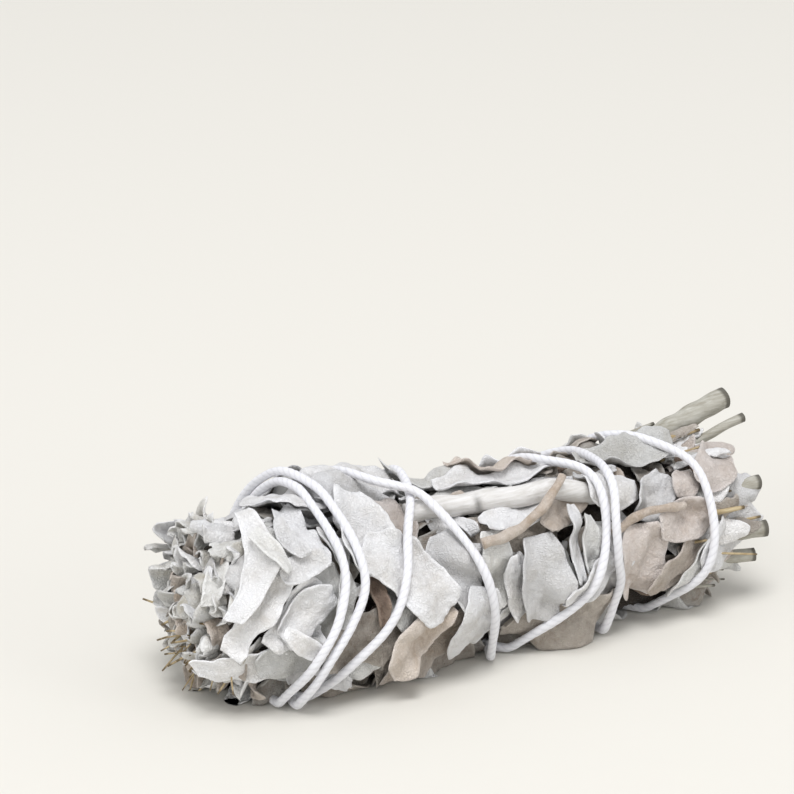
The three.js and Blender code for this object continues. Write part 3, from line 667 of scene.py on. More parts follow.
# The leaves that the photograph shows, lowest first: (stalk end), (tip), width, tone, the part's
# node where it has one, and how the leaf curls and lies
FRONT = [
    ((-30, -16), (-12, -10), 9, "white", None, {"curl": (0.4, 0.6)}),
    ((-44, -24), (-28, -20), 9, "grey", None, {"curl": (0.4, 0.6)}),
    ((-13, -14), (3, -12), 8, "grey", None, {"curl": (0.7, 0.5)}),
    ((-22, 0), (-36, 4), 8, "white", None, {"curl": (0.2, 0.5)}),
    ((-43, 20), (-41, 60), 7.5, "grey", None, {}),
    ((-35, 52), (-37, 110), 7, "grey", None, {}),
    ((24, 118), (1, 130), 8.5, "taupe", "tan_leaf_low_right", {}),
    ((-22, 94), (-37, 110), 9, "taupe", "tan_leaf_low_left", {"curl": (0.6, 0)}),
    ((-10, 98), (-24, 138), 9, "tan", "tan_leaf_low_middle", {"curl": (0.5, 0)}),
    ((-24, 70), (-21, 99), 6, "grey", None, {}),
    ((-14, 87), (-26, 116), 7.5, "tan", "tan_leaf_middle", {"curl": (0.8, 0)}),
    ((-11, 48), (-9.5, 94), 8.5, "white", "wrap_leaf_left_side", {"bow": 0.8, "curl": (0, 0.7)}),
    ((-3, 54), (-3, 104), 7.5, "grey", "wrap_leaf_right_side", {"curl": (0.8, 0)}),
    ((9, 66), (11, 100), 5, "grey", None, {}),
    ((-44, 102), (-58, 124), 8.2, "white", "wrap_leaf_corner",
     {"bow": -1, "curl": (0.7, 0.5), "lift": 0.4, "sink": -0.8}),
    ((-37, 95), (-45, 98), 6.5, "white", None, {}),
    ((-38, 100), (-49, 112), 8, "grey", "wrap_leaf_low_tip", {"curl": (0.4, 0.3)}),
    ((-38, 60), (-47, 97), 5.5, "white", None, {"curl": (0.9, 0.6)}),
    ((-50, 16), (-55, 62), 4.0, "grey", None, {"curl": (1.1, 0.9), "sink": 0.5}),
    ((-43.5, 56), (-53.5, 102), 5.2, "white", "wrap_leaf_strap",
     {"bow": 1, "curl": (1.0, 0.3), "sink": -0.6, "ragged": 0.5}),
    ((-48, -12), (-42, 18), 5.5, "white", None, {"curl": (1.3, 0.6)}),
    ((-35, 70), (-46, 88), 7.4, "white", "wrap_leaf_blunt", {"curl": (0.3, 0.9)}),
    ((-37.5, 6), (-36.5, 56), 6.6, "white", "wrap_leaf_wavy", {"bow": 0.6, "wave": 0.9, "curl": (0, 1.0)}),
    ((-35.5, 51), (-45, 58), 4.8, "white", "wrap_leaf_tongue", {"wave": 0.8, "curl": (1.0, 0.5), "lift": 0.6}),
    ((-45.5, 10), (-53.5, 76), 4.7, "white", "wrap_leaf_rim",
     {"bow": -2.4, "lift": 0.4, "curl": (0.9, 1.5), "creases": 0, "sink": -1.4, "ragged": 0.25, "wave": 0.15}),
    ((-47, 30), (-44, 56), 3.6, "grey", None, {"curl": (1.2, 0.6)}),
    ((-41, 24), (-40, 50), 3.4, "white", None, {"curl": (0.4, 1.3), "bow": 0.8}),
    ((-33, 30), (-31.5, 58), 4.4, "white", None, {"curl": (1.0, 0.9), "bow": -0.6}),
    ((-32, 60), (-34, 92), 4.0, "grey", None, {"curl": (0.7, 1.2)}),
    ((-46, 84), (-38, 104), 3.6, "white", None, {"curl": (1.2, 0.8)}),
    ((-42, -14), (-29, 12), 8.5, "white", "wrap_leaf_shoulder", {"curl": (0.4, 0)}),
    ((-31, 5), (-16, 13), 8, "white", "wrap_leaf_top_left", {"curl": (0, 0.7)}),
    ((-19, 12), (-18, 50), 7, "pink", "pink_leaf_top", {}),
    ((-26, 60), (-27, 94), 2.4, "brown", None, {"curl": (1.2, 1.2)}),
    ((-25.5, 12), (-26.5, 66), 10.5, "white", "wrap_leaf_broad_left",
     {"wave": 0.7, "curl": (0.3, 0.9), "creases": 1}),
    ((-28, 48), (-13.5, 86), 11.5, "white", "wrap_leaf_under_string", {"wave": 0.6, "curl": (0.8, 0.2)}),
    ((-7, 83), (-10, 128), 9, "white", "wrap_leaf_low_left", {"curl": (0.6, 0.4)}),
    ((0.5, 70), (3.5, 116), 6.5, "white", "wrap_leaf_fold", {"wave": 0.6, "curl": (1.0, 0)}),
    ((6, 62), (6.5, 118), 10.5, "white", "wrap_leaf_broad_middle",
     {"wave": 0.6, "curl": (0.4, 0.5), "creases": 3}),
    ((8, 58), (19, 40), 5.5, "taupe", None, {"curl": (0.8, 0.3)}),
    ((10, 45), (-4, 50), 5.8, "white", "wrap_leaf_triangle", {}),
    ((7, 60), (21, 36), 4.8, "tan", "tan_leaf_slant", {"curl": (0.9, 0.4)}),
    ((13, 50), (13, 93), 3.8, "white", None, {"curl": (1.0, 1.0)}),
    ((17, 56), (16, 91), 4.4, "grey", None, {"curl": (0.8, 1.1)}),
    ((22, 87), (10, 104), 6, "white", "wrap_leaf_low_slant", {"curl": (0.7, 0)}),
    ((-7, 8), (20, 10), 5.6, "white", "wrap_leaf_long", {"curl": (0.5, 0.7)}),
    ((-2, -6), (16, -2), 7, "tan", "tan_leaf_top", {"wave": 0.9, "curl": (1.2, 0.9)}),
    ((23, 5), (42, 14), 8.5, "grey", "wrap_leaf_top_right", {"curl": (0.6, 0.6)}),
    ((18, 40), (30, 46), 8, "white", "wrap_leaf_square", {"curl": (0, 0.6)}),
    ((38, 36), (29, 66), 8, "white", "wrap_leaf_star", {"wave": 0.7, "curl": (0.6, 0.6)}),
    ((41, 36), (39, 58), 5.5, "pink", "pink_leaf_butt", {}),
    ((28, 68), (27, 118), 10.5, "pink", "tan_leaf_broad", {"curl": (0.8, 0.3), "creases": 3}),
    ((41, 82), (30, 118), 7.5, "tan", "tan_leaf_diagonal", {"curl": (0.9, 0.2)}),
    ((44, 72), (31, 74), 8, "pink", "tan_leaf_round", {"curl": (0.2, 0.4)}),
    ((46, 84), (35, 126), 6.5, "grey", "wrap_leaf_last_string", {"curl": (0.7, 0.7)}),
    ((40, 104), (54.5, 76), 9.5, "white", "wrap_leaf_butt", {"lift": 0.8, "curl": (0.5, 0.9)}),
    ((42, 54), (52, 20), 8.5, "pink", "pink_leaf_end", {"lift": 0.6, "curl": (0.5, 0.8)}),
]

STEMS = [
    ("stem_thick", (20, -12, 8.5), (60, -18, 18.6), 4.0),
    ("stem_thin", (22, 10, 7), (61, -4, 15.2), 1.7),
    ("stem_forked", (20, 88, 6), (56, 92, 14.2), 3.0),
    ("stem_low", (20, 130, 6.5), (54, 112, 14.6), 2.4),
    ("stem_front", (24, 52, 7.5), (55.5, 57, 14.4), 2.6),
    ("stem_back", (20, 215, 5), (54, 235, 11), 3.2),
    ("stem_middle", (20, 300, 3.5), (53, 290, 4.5), 3.6),
]

# The string's way round, from the knot at the back to the tips and back again
STRING_TURNS = [
    (36, -120), (33, -60), (33.5, -10), (37, 10), (41, 30), (42.2, 60), (42, 85), (40.5, 105), (36, 132),
    (28, 180), (20, 240), (14, 300), (12.5, 345), (15, 372), (19, 392), (19.6, 415), (17.8, 440),
    (14.6, 460), (9.5, 476), (2, 505), (-4, 560), (-8, 620), (-10.5, 680), (-11.5, 715), (-14.2, 741),
    (-18.2, 764), (-21.7, 791), (-26.5, 814), (-33, 834), (-38, 860), (-41, 900), (-39, 960),
    (-35, 1020), (-33, 1075), (-32.8, 1115), (-33.4, 1148), (-36, 1165), (-39.5, 1180), (-42.5, 1205),
    (-43, 1250), (-40, 1320), (-34, 1400), (-30.5, 1455), (-29.6, 1490), (-30.4, 1515), (-33.5, 1529),
    (-37.5, 1543), (-40.5, 1565), (-39, 1610), (-34, 1670), (-28, 1735), (-23, 1785), (-19, 1810),
    (-14, 1822), (-12, 1835), (-10, 1851), (-7.3, 1874), (-5, 1898), (-2, 1937), (4, 1985), (13, 2050),
    (21, 2110), (25, 2150), (24.2, 2180), (22.2, 2203), (20.2, 2224), (20.6, 2243), (22.3, 2260),
    (22, 2280), (21.5, 2310), (26, 2350), (36, 2400),
]


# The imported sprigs

def packed_core():
    n, m = 200, 144
    x = np.linspace(TIP_X - 1.5, BUTT_X + 1.5, n)[:, None] + np.zeros((1, m))
    a = np.linspace(0, 360, m, endpoint=False)[None, :] + np.zeros((n, 1))
    r = packed_radius(x, a) - 0.2
    r = r + 0.5 * waves(x, a * 0.26, 4.0) + 0.25 * waves(x, a * 0.26, 1.6)
    ends = np.clip(np.minimum(x - x.min(), x.max() - x) / 2.0, 0, 1)
    r = r * np.sqrt(np.clip(ends, 0.02, 1))
    points = press(place(x, a, np.maximum(r, 0.5)))
    middles = [place(x.min() - 0.4, 0, 0), place(x.max() + 0.4, 0, 0)]
    points = np.concatenate([points.reshape(-1, 3), np.array(middles)])
    count = len(points)
    # the core is coloured near-black: painted shade for the deep gaps between the leaves
    return mesh_piece(
        "packed_core", points, tube_faces(n, m), "painted_shade_core",
        np.zeros(count), np.full(count, 0.4), np.full((count, 3), 9.0), ("packed_sprigs",),
    )


def standing_leaf(root, out, wide, length, width, bend, cup, tip_roll, ragged=1.3):
    """A leaf tip that stands out of an end: cupped across, bent along, its rim waved"""
    n, m = max(9, int(length / 0.45)), 13
    t, u = np.meshgrid(np.linspace(0, 1, n), np.linspace(-1, 1, m), indexing="ij")
    normal = np.cross(out, wide)
    normal /= np.linalg.norm(normal)
    blunt = np.sqrt(np.clip(1 - np.clip((t - 0.55) / 0.47, 0, 1) ** 2.4, 0.03, 1))
    half = width / 2 * (0.72 + 0.28 * np.sin(pi * np.clip(t * 0.9, 0, 1))) * blunt
    half = half * (1 + 0.10 * ragged * waves(t * length, u * 2, 2.2, 3))
    half = half * (1 - rng.uniform(0, 0.35) * t)
    phi = cup * u
    safe = cup if abs(cup) > 0.05 else 0.05
    side = half * np.sin(phi) / safe
    deep = half * (1 - np.cos(phi)) / safe
    arc = t * length
    roll = tip_roll * np.clip((t - 0.5) / 0.5, 0, 1) ** 1.5
    forward = arc * np.cos(roll * 0.55)
    up = bend * t * t + arc * np.sin(roll * 0.55) * 0.6
    ruffle = 0.34 * ragged * waves(arc, u * 1.3, 2.4, 3) * u * u * t
    ruffle = ruffle + 0.16 * ragged * np.abs(side - rng.uniform(-1, 1)) * t
    mid = (
        root
        + forward[..., None] * out
        + side[..., None] * wide
        + (deep + up + ruffle + 0.06 * waves(arc, side, 1.6))[..., None] * normal
    )
    away = np.minimum(half * (1 - np.abs(u)), (1 - t) * length)
    # edge band that the leaf material paints as a highlight
    rim = np.clip(1 - away / 0.5, 0, 1) ** 0.8
    return sheet_mesh(mid, TIP_THICKNESS, rim, np.stack([arc, side, 0 * arc], axis=-1))


def outward_at(degrees):
    return np.array([0.0, -sin(radians(degrees)), cos(radians(degrees))])


def leaning(degrees, lean, way):
    """Along the roll one way or the other, leant outwards"""
    out = outward_at(degrees) * sin(lean)
    out[0] = way * cos(lean)
    return out


def across_from(out, degrees, twist):
    """The width of a leaf that stands that way, twisted about it"""
    around = np.cross(out, outward_at(degrees))
    return turn_about(around / np.linalg.norm(around), out, twist)


def turn_about(v, axis, angle):
    axis = axis / np.linalg.norm(axis)
    return v * cos(angle) + np.cross(axis, v) * sin(angle) + axis * np.dot(axis, v) * (1 - cos(angle))


def ends_of(x, degrees, half, turn, furthest=99.0):
    """Both ends of a leaf from its middle, its half length and its turn from the roll's axis"""
    round_ = half * sin(turn) / float(outer_radius(x)) * (180 / pi)
    return (
        (min(x - half * cos(turn), furthest), degrees - round_),
        (min(x + half * cos(turn), furthest), degrees + round_),
    )


def lower_leaves():
    leaves = []
    for row in range(5):
        for k in range(6):
            x = -37 + row * 19 + between(-2, 2)
            degrees = 60 * k + 30 * (row % 2) + between(-8, 8)
            half = between(9, 10.5)
            turn = radians(between(-50, 50)) + (pi if part_draw() > 0.5 else 0)
            start, end = ends_of(x, degrees, half, turn, 47)
            width = between(9, 11)
            wave = between(0.3, 0.7)
            lift = between(0, 0.5)
            leaves.append((start, end, width, wave, lift))
    return leaves


def back_leaves():
    leaves = []
    tones = ["white", "grey", "white", "tan", "white", "pink"]
    for row in range(4):
        for k in range(3):
            x = -37 + row * 24 + between(-2, 2) + 6 * (k % 2)
            degrees = 218 + 44 * k + between(-5, 5)
            half = between(11, 13.5)
            turn = radians(between(-32, 32)) + (pi if part_draw() > 0.6 else 0)
            start, end = ends_of(x, degrees, half, turn, 50)
            width = between(10.5, 12.5)
            wave = between(0.4, 0.9)
            name, tone = f"back_leaf_{row * 3 + k + 1:02d}", tones[(row * 3 + k * 2) % 6]
            leaves.append((name, start, end, width, wave, tone))
    return leaves


low = lower_leaves()
back = back_leaves()


def scattered(count, x_range, a_range, size, width, tones, **options):
    """Leaves strewn over a stretch of the roll, by a seeded rule"""
    made = []
    for k in range(count):
        x = rng.uniform(*x_range)
        a = rng.uniform(*a_range)
        half = rng.uniform(*size) / 2
        if rng.random() < 0.4:
            turn = rng.uniform(0, 2 * pi)
        else:
            turn = rng.normal(0, 0.6) + (pi if rng.random() < 0.5 else 0)
        made.append(
            Leaf(
                *ends_of(x, a, half, turn), rng.uniform(*width),
                tones[rng.integers(len(tones))],
                curl=(rng.uniform(0, 1.1), rng.uniform(0, 1.1)), wave=rng.uniform(0.3, 0.8), **options,
            )
        )
    return made


# the leaves beneath mostly take the darker under tone, painted shade for the gaps between the leaves
under = scattered(80, (-46, 46), (0, 360), (9, 15), (6, 9), ["under", "under", "grey", "taupe"], around=0.4)
low_tones = ["grey", "under", "grey", "taupe", "white"]
for k, (start, end, width, wave, lift) in enumerate(low):
    under.append(Leaf(start, end, width, low_tones[k % 5], wave=wave, lift=lift, curl=(0.4, 0.4)))
under += scattered(16, (-44, 44), (200, 330), (10, 18), (6, 9), ["grey", "white", "tan", "under"], around=0.4)
under += scattered(5, (-44, 30), (330, 375), (10, 16), (5, 8), ["grey", "white", "under"], around=0.4)
under += scattered(8, (-40, 44), (135, 205), (12, 18), (7, 9), ["grey", "taupe"], around=0.4)


def outer_rod(path, diameter, count, sink=0.0):
    """Points of a rod that lies on the outside"""
    spots = smooth_path([(x, a * 0.3, 0) for x, a in path], count)
    x, a = spots[:, 0], spots[:, 1] / 0.3
    base = reach_near(x, a, diameter / 2) + diameter / 2 - sink
    r = base.copy()
    for _ in range(60):
        r[1:-1] = np.maximum(base[1:-1], (r[:-2] + r[2:]) / 2)
    per_degree = radians(1) * outer_radius(x)
    for s in np.linspace(-1, 1, 9):
        top = r + diameter / 2 * sqrt(max(0, 1 - s * s)) - 0.1
        for shift in (-0.5, 0, 0.5):
            raise_reach(x + shift, a + s * diameter / 2 / per_degree, top)
    return x, a, r


scraps = scattered(
    60, (-42, 46), (-15, 135), (5, 11), (1.8, 4.2), ["white", "grey", "tan", "white", "taupe", "brown"],
    around=0.3, passes=6, sink=0.15,
)

front = []
for start, end, width, tone, node_name, options in FRONT:
    if node_name == "wrap_leaf_long":
        stem_spots = outer_rod([(-15.5, 27), (1, 34), (17, 41), (27, 46)], OUTER_STEM_DIAMETER, 110, 1.6)
    front.append(Leaf(start, end, width, tone, node=node_name, **options))
for name, start, end, width, wave, tone in back:
    front.append(
        Leaf(start, end, width, tone, node=name, wave=wave, curl=(rng.uniform(0.2, 0.9), rng.uniform(0.2, 0.9)))
    )
extra = scattered(4, (-42, 42), (215, 345), (12, 18), (6, 8.5), ["white", "white", "grey", "tan"], around=0.4)

slant_spots = outer_rod([(-7, 61), (1, 58), (7, 50), (12.5, 37)], SLANT_ROLL_DIAMETER, 70)
butt_spots = outer_rod([(22, 71), (28, 62), (37, 63)], BUTT_ROLL_DIAMETER, 50)


# The string

def string_route():
    turns = np.array(STRING_TURNS, float)
    step = 2.0
    a = np.arange(turns[0, 1], turns[-1, 1] + 0.1, step)
    slope = np.gradient(turns[:, 0], turns[:, 1])
    i = np.clip(np.searchsorted(turns[:, 1], a, side="right") - 1, 0, len(turns) - 2)
    h = turns[i + 1, 1] - turns[i, 1]
    t = (a - turns[i, 1]) / h
    x = hermite(t, h, turns[i, 0], slope[i], turns[i + 1, 0], slope[i + 1])
    half = STRING_DIAMETER / 2
    base = reach_near(x, a, 0.7) + half
    shrink = cos(radians(step))

    def taut(rest, r, passes=500):
        for _ in range(passes):
            r[1:-1] = np.maximum(rest[1:-1], (r[:-2] + r[2:]) / 2 * shrink)
        return r

    r = taut(base, base.copy())
    away = (a[:, None] - a[None, :] + 180) % 360 - 180
    apart = np.hypot(x[:, None] - x[None, :], away * radians(1) * outer_radius(x)[:, None])
    earlier = np.tril(np.ones_like(apart, bool), -60)
    lifted = np.where(earlier & (apart < STRING_DIAMETER * 1.1), r[None, :] + STRING_DIAMETER * 0.88, 0)
    rest = np.maximum(base, lifted.max(axis=1))
    r = eased(taut(rest, np.maximum(r, rest)), 3.5) - STRING_PRESS
    r = r - 1.0 * np.exp(-((((a + 10 + 180) % 360 - 180) / 38) ** 2))
    # no higher than the part's own box lets it stand
    r = r - past_limits(place(x, a, r), 0.35, 0.35)
    crossing = earlier & (apart < STRING_SEEN)
    for _ in range(2):
        lifted = np.where(crossing, r[None, :] + CROSSING_RISE, 0)
        r = eased(np.maximum(r, lifted.max(axis=1)), 1.4)
        r = r - past_limits(place(x, a, r), 0.5, 0.7)
        lowered = np.where(crossing, r[:, None] - CROSSING_RISE, 99)
        r = np.minimum(r, eased(np.minimum(lowered.min(axis=0), r), 1.4))
    return x, a, r, np.maximum(base - r, 0.15)


def past_limits(points, at_side, at_top):
    """How far points stand past the limits, with some room there"""
    side = np.maximum(np.abs(points[:, 1]) - SIDE_LIMIT - at_side, 0)
    return 1.02 * (side + np.maximum(points[:, 2] - TOP_LIMIT - at_top, 0))


def eased(values, spread):
    reach_of = int(spread * 3)
    weights = np.exp(-0.5 * (np.arange(-reach_of, reach_of + 1) / spread) ** 2)
    return np.convolve(np.pad(values, reach_of, mode="edge"), weights / weights.sum(), mode="valid")


string_x, string_a, string_r, string_press = string_route()
for x, a, sunk in zip(string_x, string_a, string_press):
    i0 = int((x - GRID_X0) / GRID_DX)
    ii = np.arange(max(0, i0 - 22), min(CELLS_X, i0 + 23))
    jj = np.arange(int(a) - 18, int(a) + 19)
    dx = GRID_X0 + GRID_DX * ii - x
    ds = (jj - a) * radians(1) * float(outer_radius(x))
    depth = sunk * np.exp(-((dx[:, None] ** 2 + ds[None, :] ** 2) / 1.9**2))
    window = np.ix_(ii, jj % CELLS_ROUND)
    groove[window] = np.maximum(groove[window], depth)


def string_points():
    p = place(string_x, string_a, string_r)
    p[:, 2] = np.maximum(p[:, 2], STRING_DIAMETER / 2 + 0.03)
    length = np.concatenate([[0], np.cumsum(np.linalg.norm(np.diff(p, axis=0), axis=1))])
    even = np.linspace(0, length[-1], int(length[-1] / 0.33))
    q = np.stack([np.interp(even, length, p[:, k]) for k in range(3)], axis=1)
    for _ in range(6):
        q[1:-1] = (q[:-2] + 2 * q[1:-1] + q[2:]) / 4
    q[:, 2] = np.maximum(q[:, 2], STRING_DIAMETER / 2 + 0.03)
    return q


def plied(path, diameter, sides=21, pitch=4.6):
    """Radii and ply depth of a three-ply string along a path"""
    length = np.concatenate([[0], np.cumsum(np.linalg.norm(np.diff(path, axis=0), axis=1))])
    phi = np.linspace(0, 2 * pi, sides, endpoint=False)[None, :]
    lobe = np.abs(np.cos(1.5 * (phi - 2 * pi * length[:, None] / pitch)))
    swell = 1 + 0.04 * waves(length, 0 * length, 9.0)[:, None] + 0.02 * waves(length, 0 * length, 2.0)[:, None]
    radii = diameter / 2 * (0.91 + 0.05 * lobe) * swell
    return radii, lobe


def fuzz(path, radius, count, name, nodes):
    """Loose cotton fibres that stand off the string"""
    tangent, side, other = frames_along(path)
    points, faces = [], []
    for k in range(count):
        i = rng.integers(2, len(path) - 2)
        phi = rng.uniform(0, 2 * pi)
        out = side[i] * cos(phi) + other[i] * sin(phi)
        lean = tangent[i] * rng.normal(0, 1.0) + np.cross(out, tangent[i]) * rng.normal(0, 0.8)
        size = rng.uniform(0.35, 1.0)
        root = path[i] + out * radius * 0.82
        tip = root + (out * rng.uniform(0.1, 0.42) + lean * 0.6) * size
        mid = (root + tip) / 2 + out * 0.12 * size
        thick = 0.022
        start = len(points)
        for p, w in ((root, thick), (mid, thick * 0.8), (tip, thick * 0.3)):
            for c in range(3):
                ang = 2 * pi * c / 3
                points.append(p + (tangent[i] * cos(ang) + np.cross(out, tangent[i]) * sin(ang)) * w)
        for q in range(2):
            for c in range(3):
                d = (c + 1) % 3
                a, b = start + q * 3 + c, start + q * 3 + d
                faces.append((a, b, b + 3, a + 3))
    p = np.array(points)
    p[:, 2] = np.maximum(p[:, 2], 0.05)
    n = len(p)
    return mesh_piece(
        name, p, np.array(faces), "string", np.ones(n), np.ones(n), np.zeros((n, 3)), nodes,
    )


def string_piece(name, path, radii, lobe):
    points, faces = tube_mesh(path, radii)
    points[:, 2] = np.maximum(points[:, 2], 0.04)
    count = len(points)
    # ply mask, for the painted shade in the grooves between the plies
    ply = np.concatenate([lobe.ravel(), [0.5, 0.5]])
    mesh_piece(name, points, faces, "string", ply, np.ones(count), np.zeros((count, 3)), ("tie_string",))


route = string_points()
string_piece("string_wound", route, *plied(route, STRING_SEEN * 1.06))
fuzz(route, STRING_SEEN / 2, 2600, "string_fuzz", ("tie_string",))


def knot():
    """An overhand knot over the two ends, which are left short"""
    middle = place(36, 240, float(outer_radius(36)) + 1.0)
    up = outward_at(240)
    along = np.array([1.0, 0.0, 0.0])
    round_ = np.cross(up, along)
    t = np.linspace(0, 2 * pi, 90)
    loop = (
        middle
        + np.outer(1.25 * (np.sin(t) + 2 * np.sin(2 * t)) / 1.9, along)
        + np.outer(1.05 * (np.cos(t) - 2 * np.cos(2 * t)) / 1.9, round_)
        + np.outer(-0.62 * np.sin(3 * t) + 0.35, up)
    )
    string_piece("string_knot", loop, *plied(loop, STRING_DIAMETER * 0.86))
    for number, (x, a) in enumerate([(41.5, 231), (31.5, 228)], 1):
        r = float(outer_radius(x))
        tail = smooth_path(
            [middle + up * 0.3, place((36 + x) / 2, 237, r + 1.5), place(x, a, r + 1.1)], 40
        )
        radii, lobe = plied(tail, STRING_DIAMETER * 0.9)
        fray = 1 + 0.35 * np.clip((np.arange(40) - 33) / 6, 0, 1)[:, None]
        string_piece(f"string_end_{number}", tail, radii * fray, lobe)


knot()

# Meshes of all that the string presses

packed_core()
by_tone = {}
for leaf in under + scraps + extra:
    by_tone.setdefault(leaf.tone, []).append(leaf)
for tone, leaves in by_tone.items():
    build_leaves(f"packed_leaves_{tone}", leaves, tone, ("packed_sprigs",))
loose = [leaf for leaf in front if leaf.node is None]
for k, leaf in enumerate(loose):
    build_leaves(f"packed_front_leaf_{k + 1:02d}", [leaf], leaf.tone, ("packed_sprigs",))
for leaf in front:
    if leaf.node:
        build_leaves(f"{leaf.node}_fine", [leaf], leaf.tone, (leaf.node,))


def rod_piece(name, path, diameter, tone, nodes, lumps=0.05, groove_depth=0.0, taper=0.0, ends=True,
              scar=None):
    count = len(path)
    length = np.concatenate([[0], np.cumsum(np.linalg.norm(np.diff(path, axis=0), axis=1))])
    sides = 22
    phi = np.linspace(0, 2 * pi, sides, endpoint=False)[None, :]
    s = length[:, None] / max(length[-1], 1e-6)
    radii = diameter / 2 * (1 + lumps * waves(length[:, None] + 0 * phi, diameter / 2 * phi * 0.9, 5.0))
    radii = radii * (1 - taper * s)
    radii = radii * (1 + 0.03 * np.cos(4 * phi + 0.4))
    if groove_depth:
        radii = radii * (1 - groove_depth * np.exp(-(((phi - pi) / 0.35) ** 2)))
    p, f = tube_mesh(path, radii)
    mark = np.zeros((count, sides))
    if ends:
        mark[-2:] = 0.85
        mark[0] = 0.75
        radii[-3:] *= 1 + 0.08 * rng.normal(0, 1, (1, sides))
    if scar:
        at, facing = scar
        turned = (phi - facing + pi) % (2 * pi) - pi
        spot = ((s - at) * length[-1] / 0.7) ** 2 + (turned / 0.8) ** 2
        mark = np.maximum(mark, 0.85 * np.exp(-spot))
    end_mark = np.concatenate([mark.ravel(), [1.0, 1.0]])
    vary = np.full(len(p), rng.random())
    blade = np.concatenate([np.repeat(length, sides), [0, length[-1]]])
    blade = np.stack([blade, np.full(len(p), 2.0), np.zeros(len(p))], axis=1)
    p[:, 2] = np.maximum(p[:, 2], 0.05)
    return mesh_piece(name, p, f, tone, end_mark, vary, blade, nodes)


x, a, r = stem_spots
rod_piece(
    "stem_outer_fine", press(place(x, a, r)), OUTER_STEM_DIAMETER, "outer", ("stem_outer",),
    lumps=0.03, ends=False, scar=(0.3, STEM_SCAR_FACING),
)
x, a, r = slant_spots
rod_piece(
    "rolled_leaf_slant_fine", press(place(x, a, r)), SLANT_ROLL_DIAMETER, "tan", ("rolled_leaf_slant",),
    lumps=0.2, groove_depth=0.5, taper=0.3, ends=False,
)
x, a, r = butt_spots
rod_piece(
    "rolled_leaf_butt_fine", press(place(x, a, r)), BUTT_ROLL_DIAMETER, "tan", ("rolled_leaf_butt",),
    lumps=0.2, groove_depth=0.45, taper=0.2, ends=False,
)

for name, start, end, diameter in STEMS:
    p, q = place(*start), place(*end)
    middle = (p + q) / 2 + np.array([0, 0, -0.3])
    path = smooth_path([p, middle, q], 60)
    path[1:-1] += 0.12 * np.stack([waves(np.arange(58) * 0.6, np.zeros(58), 9.0) for _ in range(3)], axis=1)
    rod_piece(f"{name}_fine", path, diameter, "stem", (name,), lumps=0.05)


# Leaf tips in rings over the domed end: those of the part first, then finer ones between them

def tip_leaf(degrees, radius, lean, twist, length, width, bend, cup, roll):
    far = radius / 13
    x = TIP_X + 0.2 + 5.0 * far**3
    facing = 0.5 + 0.5 * cos(radians(degrees - 60))
    if radius > 9:
        lean = lean * (1 - 0.55 * facing**2)
        radius = radius * (1 - 0.10 * facing**2)
    out = leaning(degrees, lean, -1)
    wide = across_from(out, degrees, twist)
    root = place(x, degrees, radius)
    return standing_leaf(root - out * 1.2, out, wide, length + 1.2, width, bend, cup, roll)


tips = {"tip": [], "white": [], "grey": [], "tan": [], "taupe": []}
for radius, count in ((1.2, 3), (4.6, 6), (8.2, 10), (11.6, 13)):
    for k in range(count):
        degrees = 360 * (k + between(-0.25, 0.25)) / count + radius * 40
        far = radius / 13
        lean = radians(8 + 34 * far + between(-10, 10))
        twist = radians(between(-35, 35))
        r = radius * between(0.94, 1.06)
        length = between(5.8, 7.8) - 0.8 * far
        width = between(5, 6.8)
        bend = between(-1.2, 0.9)
        tone = ["tip", "white", "tip", "grey", "tip"][k % 5]
        tips[tone].append(
            tip_leaf(
                degrees, r, lean, twist, length, width, bend, rng.uniform(0.5, 1.5), rng.uniform(-1.4, 1.2)
            )
        )
FINE_TIP_RINGS = [
    (0.3, 3), (2.6, 6), (4.4, 8), (6.4, 11), (8.2, 12), (9.9, 15), (11.6, 16), (13.0, 18), (14.2, 18),
]
LOW_TIP_TONES = ["tip", "tan", "grey", "taupe"]
HIGH_TIP_TONES = ["tip", "white", "tip", "tip", "grey", "tan"]
for radius, count in FINE_TIP_RINGS:
    for k in range(count):
        degrees = 360 * (k + rng.uniform(-0.3, 0.3)) / count + radius * 23
        if radius > 13.5 and -25 < (degrees + 180) % 360 - 180 < 135:
            continue
        far = radius / 13
        lean = radians(6 + 36 * far + rng.uniform(-12, 12))
        length = rng.uniform(5.0, 7.6) - 0.8 * far
        tones = LOW_TIP_TONES if 80 < degrees % 360 < 240 else HIGH_TIP_TONES
        tone = tones[k % len(tones)]
        tips[tone].append(
            tip_leaf(
                degrees, radius * rng.uniform(0.95, 1.05), lean, radians(rng.uniform(-45, 45)), length,
                rng.uniform(4.6, 7.4), rng.uniform(-1.2, 1.0), rng.uniform(0.6, 1.8), rng.uniform(-1.5, 1.4),
            )
        )
for k in range(26):
    degrees = -75 + 108 * (k + rng.uniform(-0.4, 0.4)) / 25
    x = rng.uniform(-48.5, -43.0)
    out = leaning(degrees, radians(rng.uniform(-8, 20)), -1)
    out = turn_about(out, outward_at(degrees), radians(rng.uniform(-28, 28)))
    wide = across_from(out, degrees, radians(rng.uniform(-50, 50)))
    root = place(x, degrees, float(outer_radius(x)) - rng.uniform(2.6, 4.6))
    p, f, r, b = standing_leaf(
        root, out, wide, rng.uniform(5.5, 8.5), rng.uniform(3.0, 5.6), rng.uniform(-0.8, 1.2),
        rng.uniform(0.6, 1.7), rng.uniform(-1.2, 1.2),
    )
    tips[["white", "white", "tip", "grey"][k % 4]].append((press(p), f, r, b))
for tone, sheets in tips.items():
    join_sheets(f"packed_tips_{tone}", sheets, tone, ("packed_sprigs",))

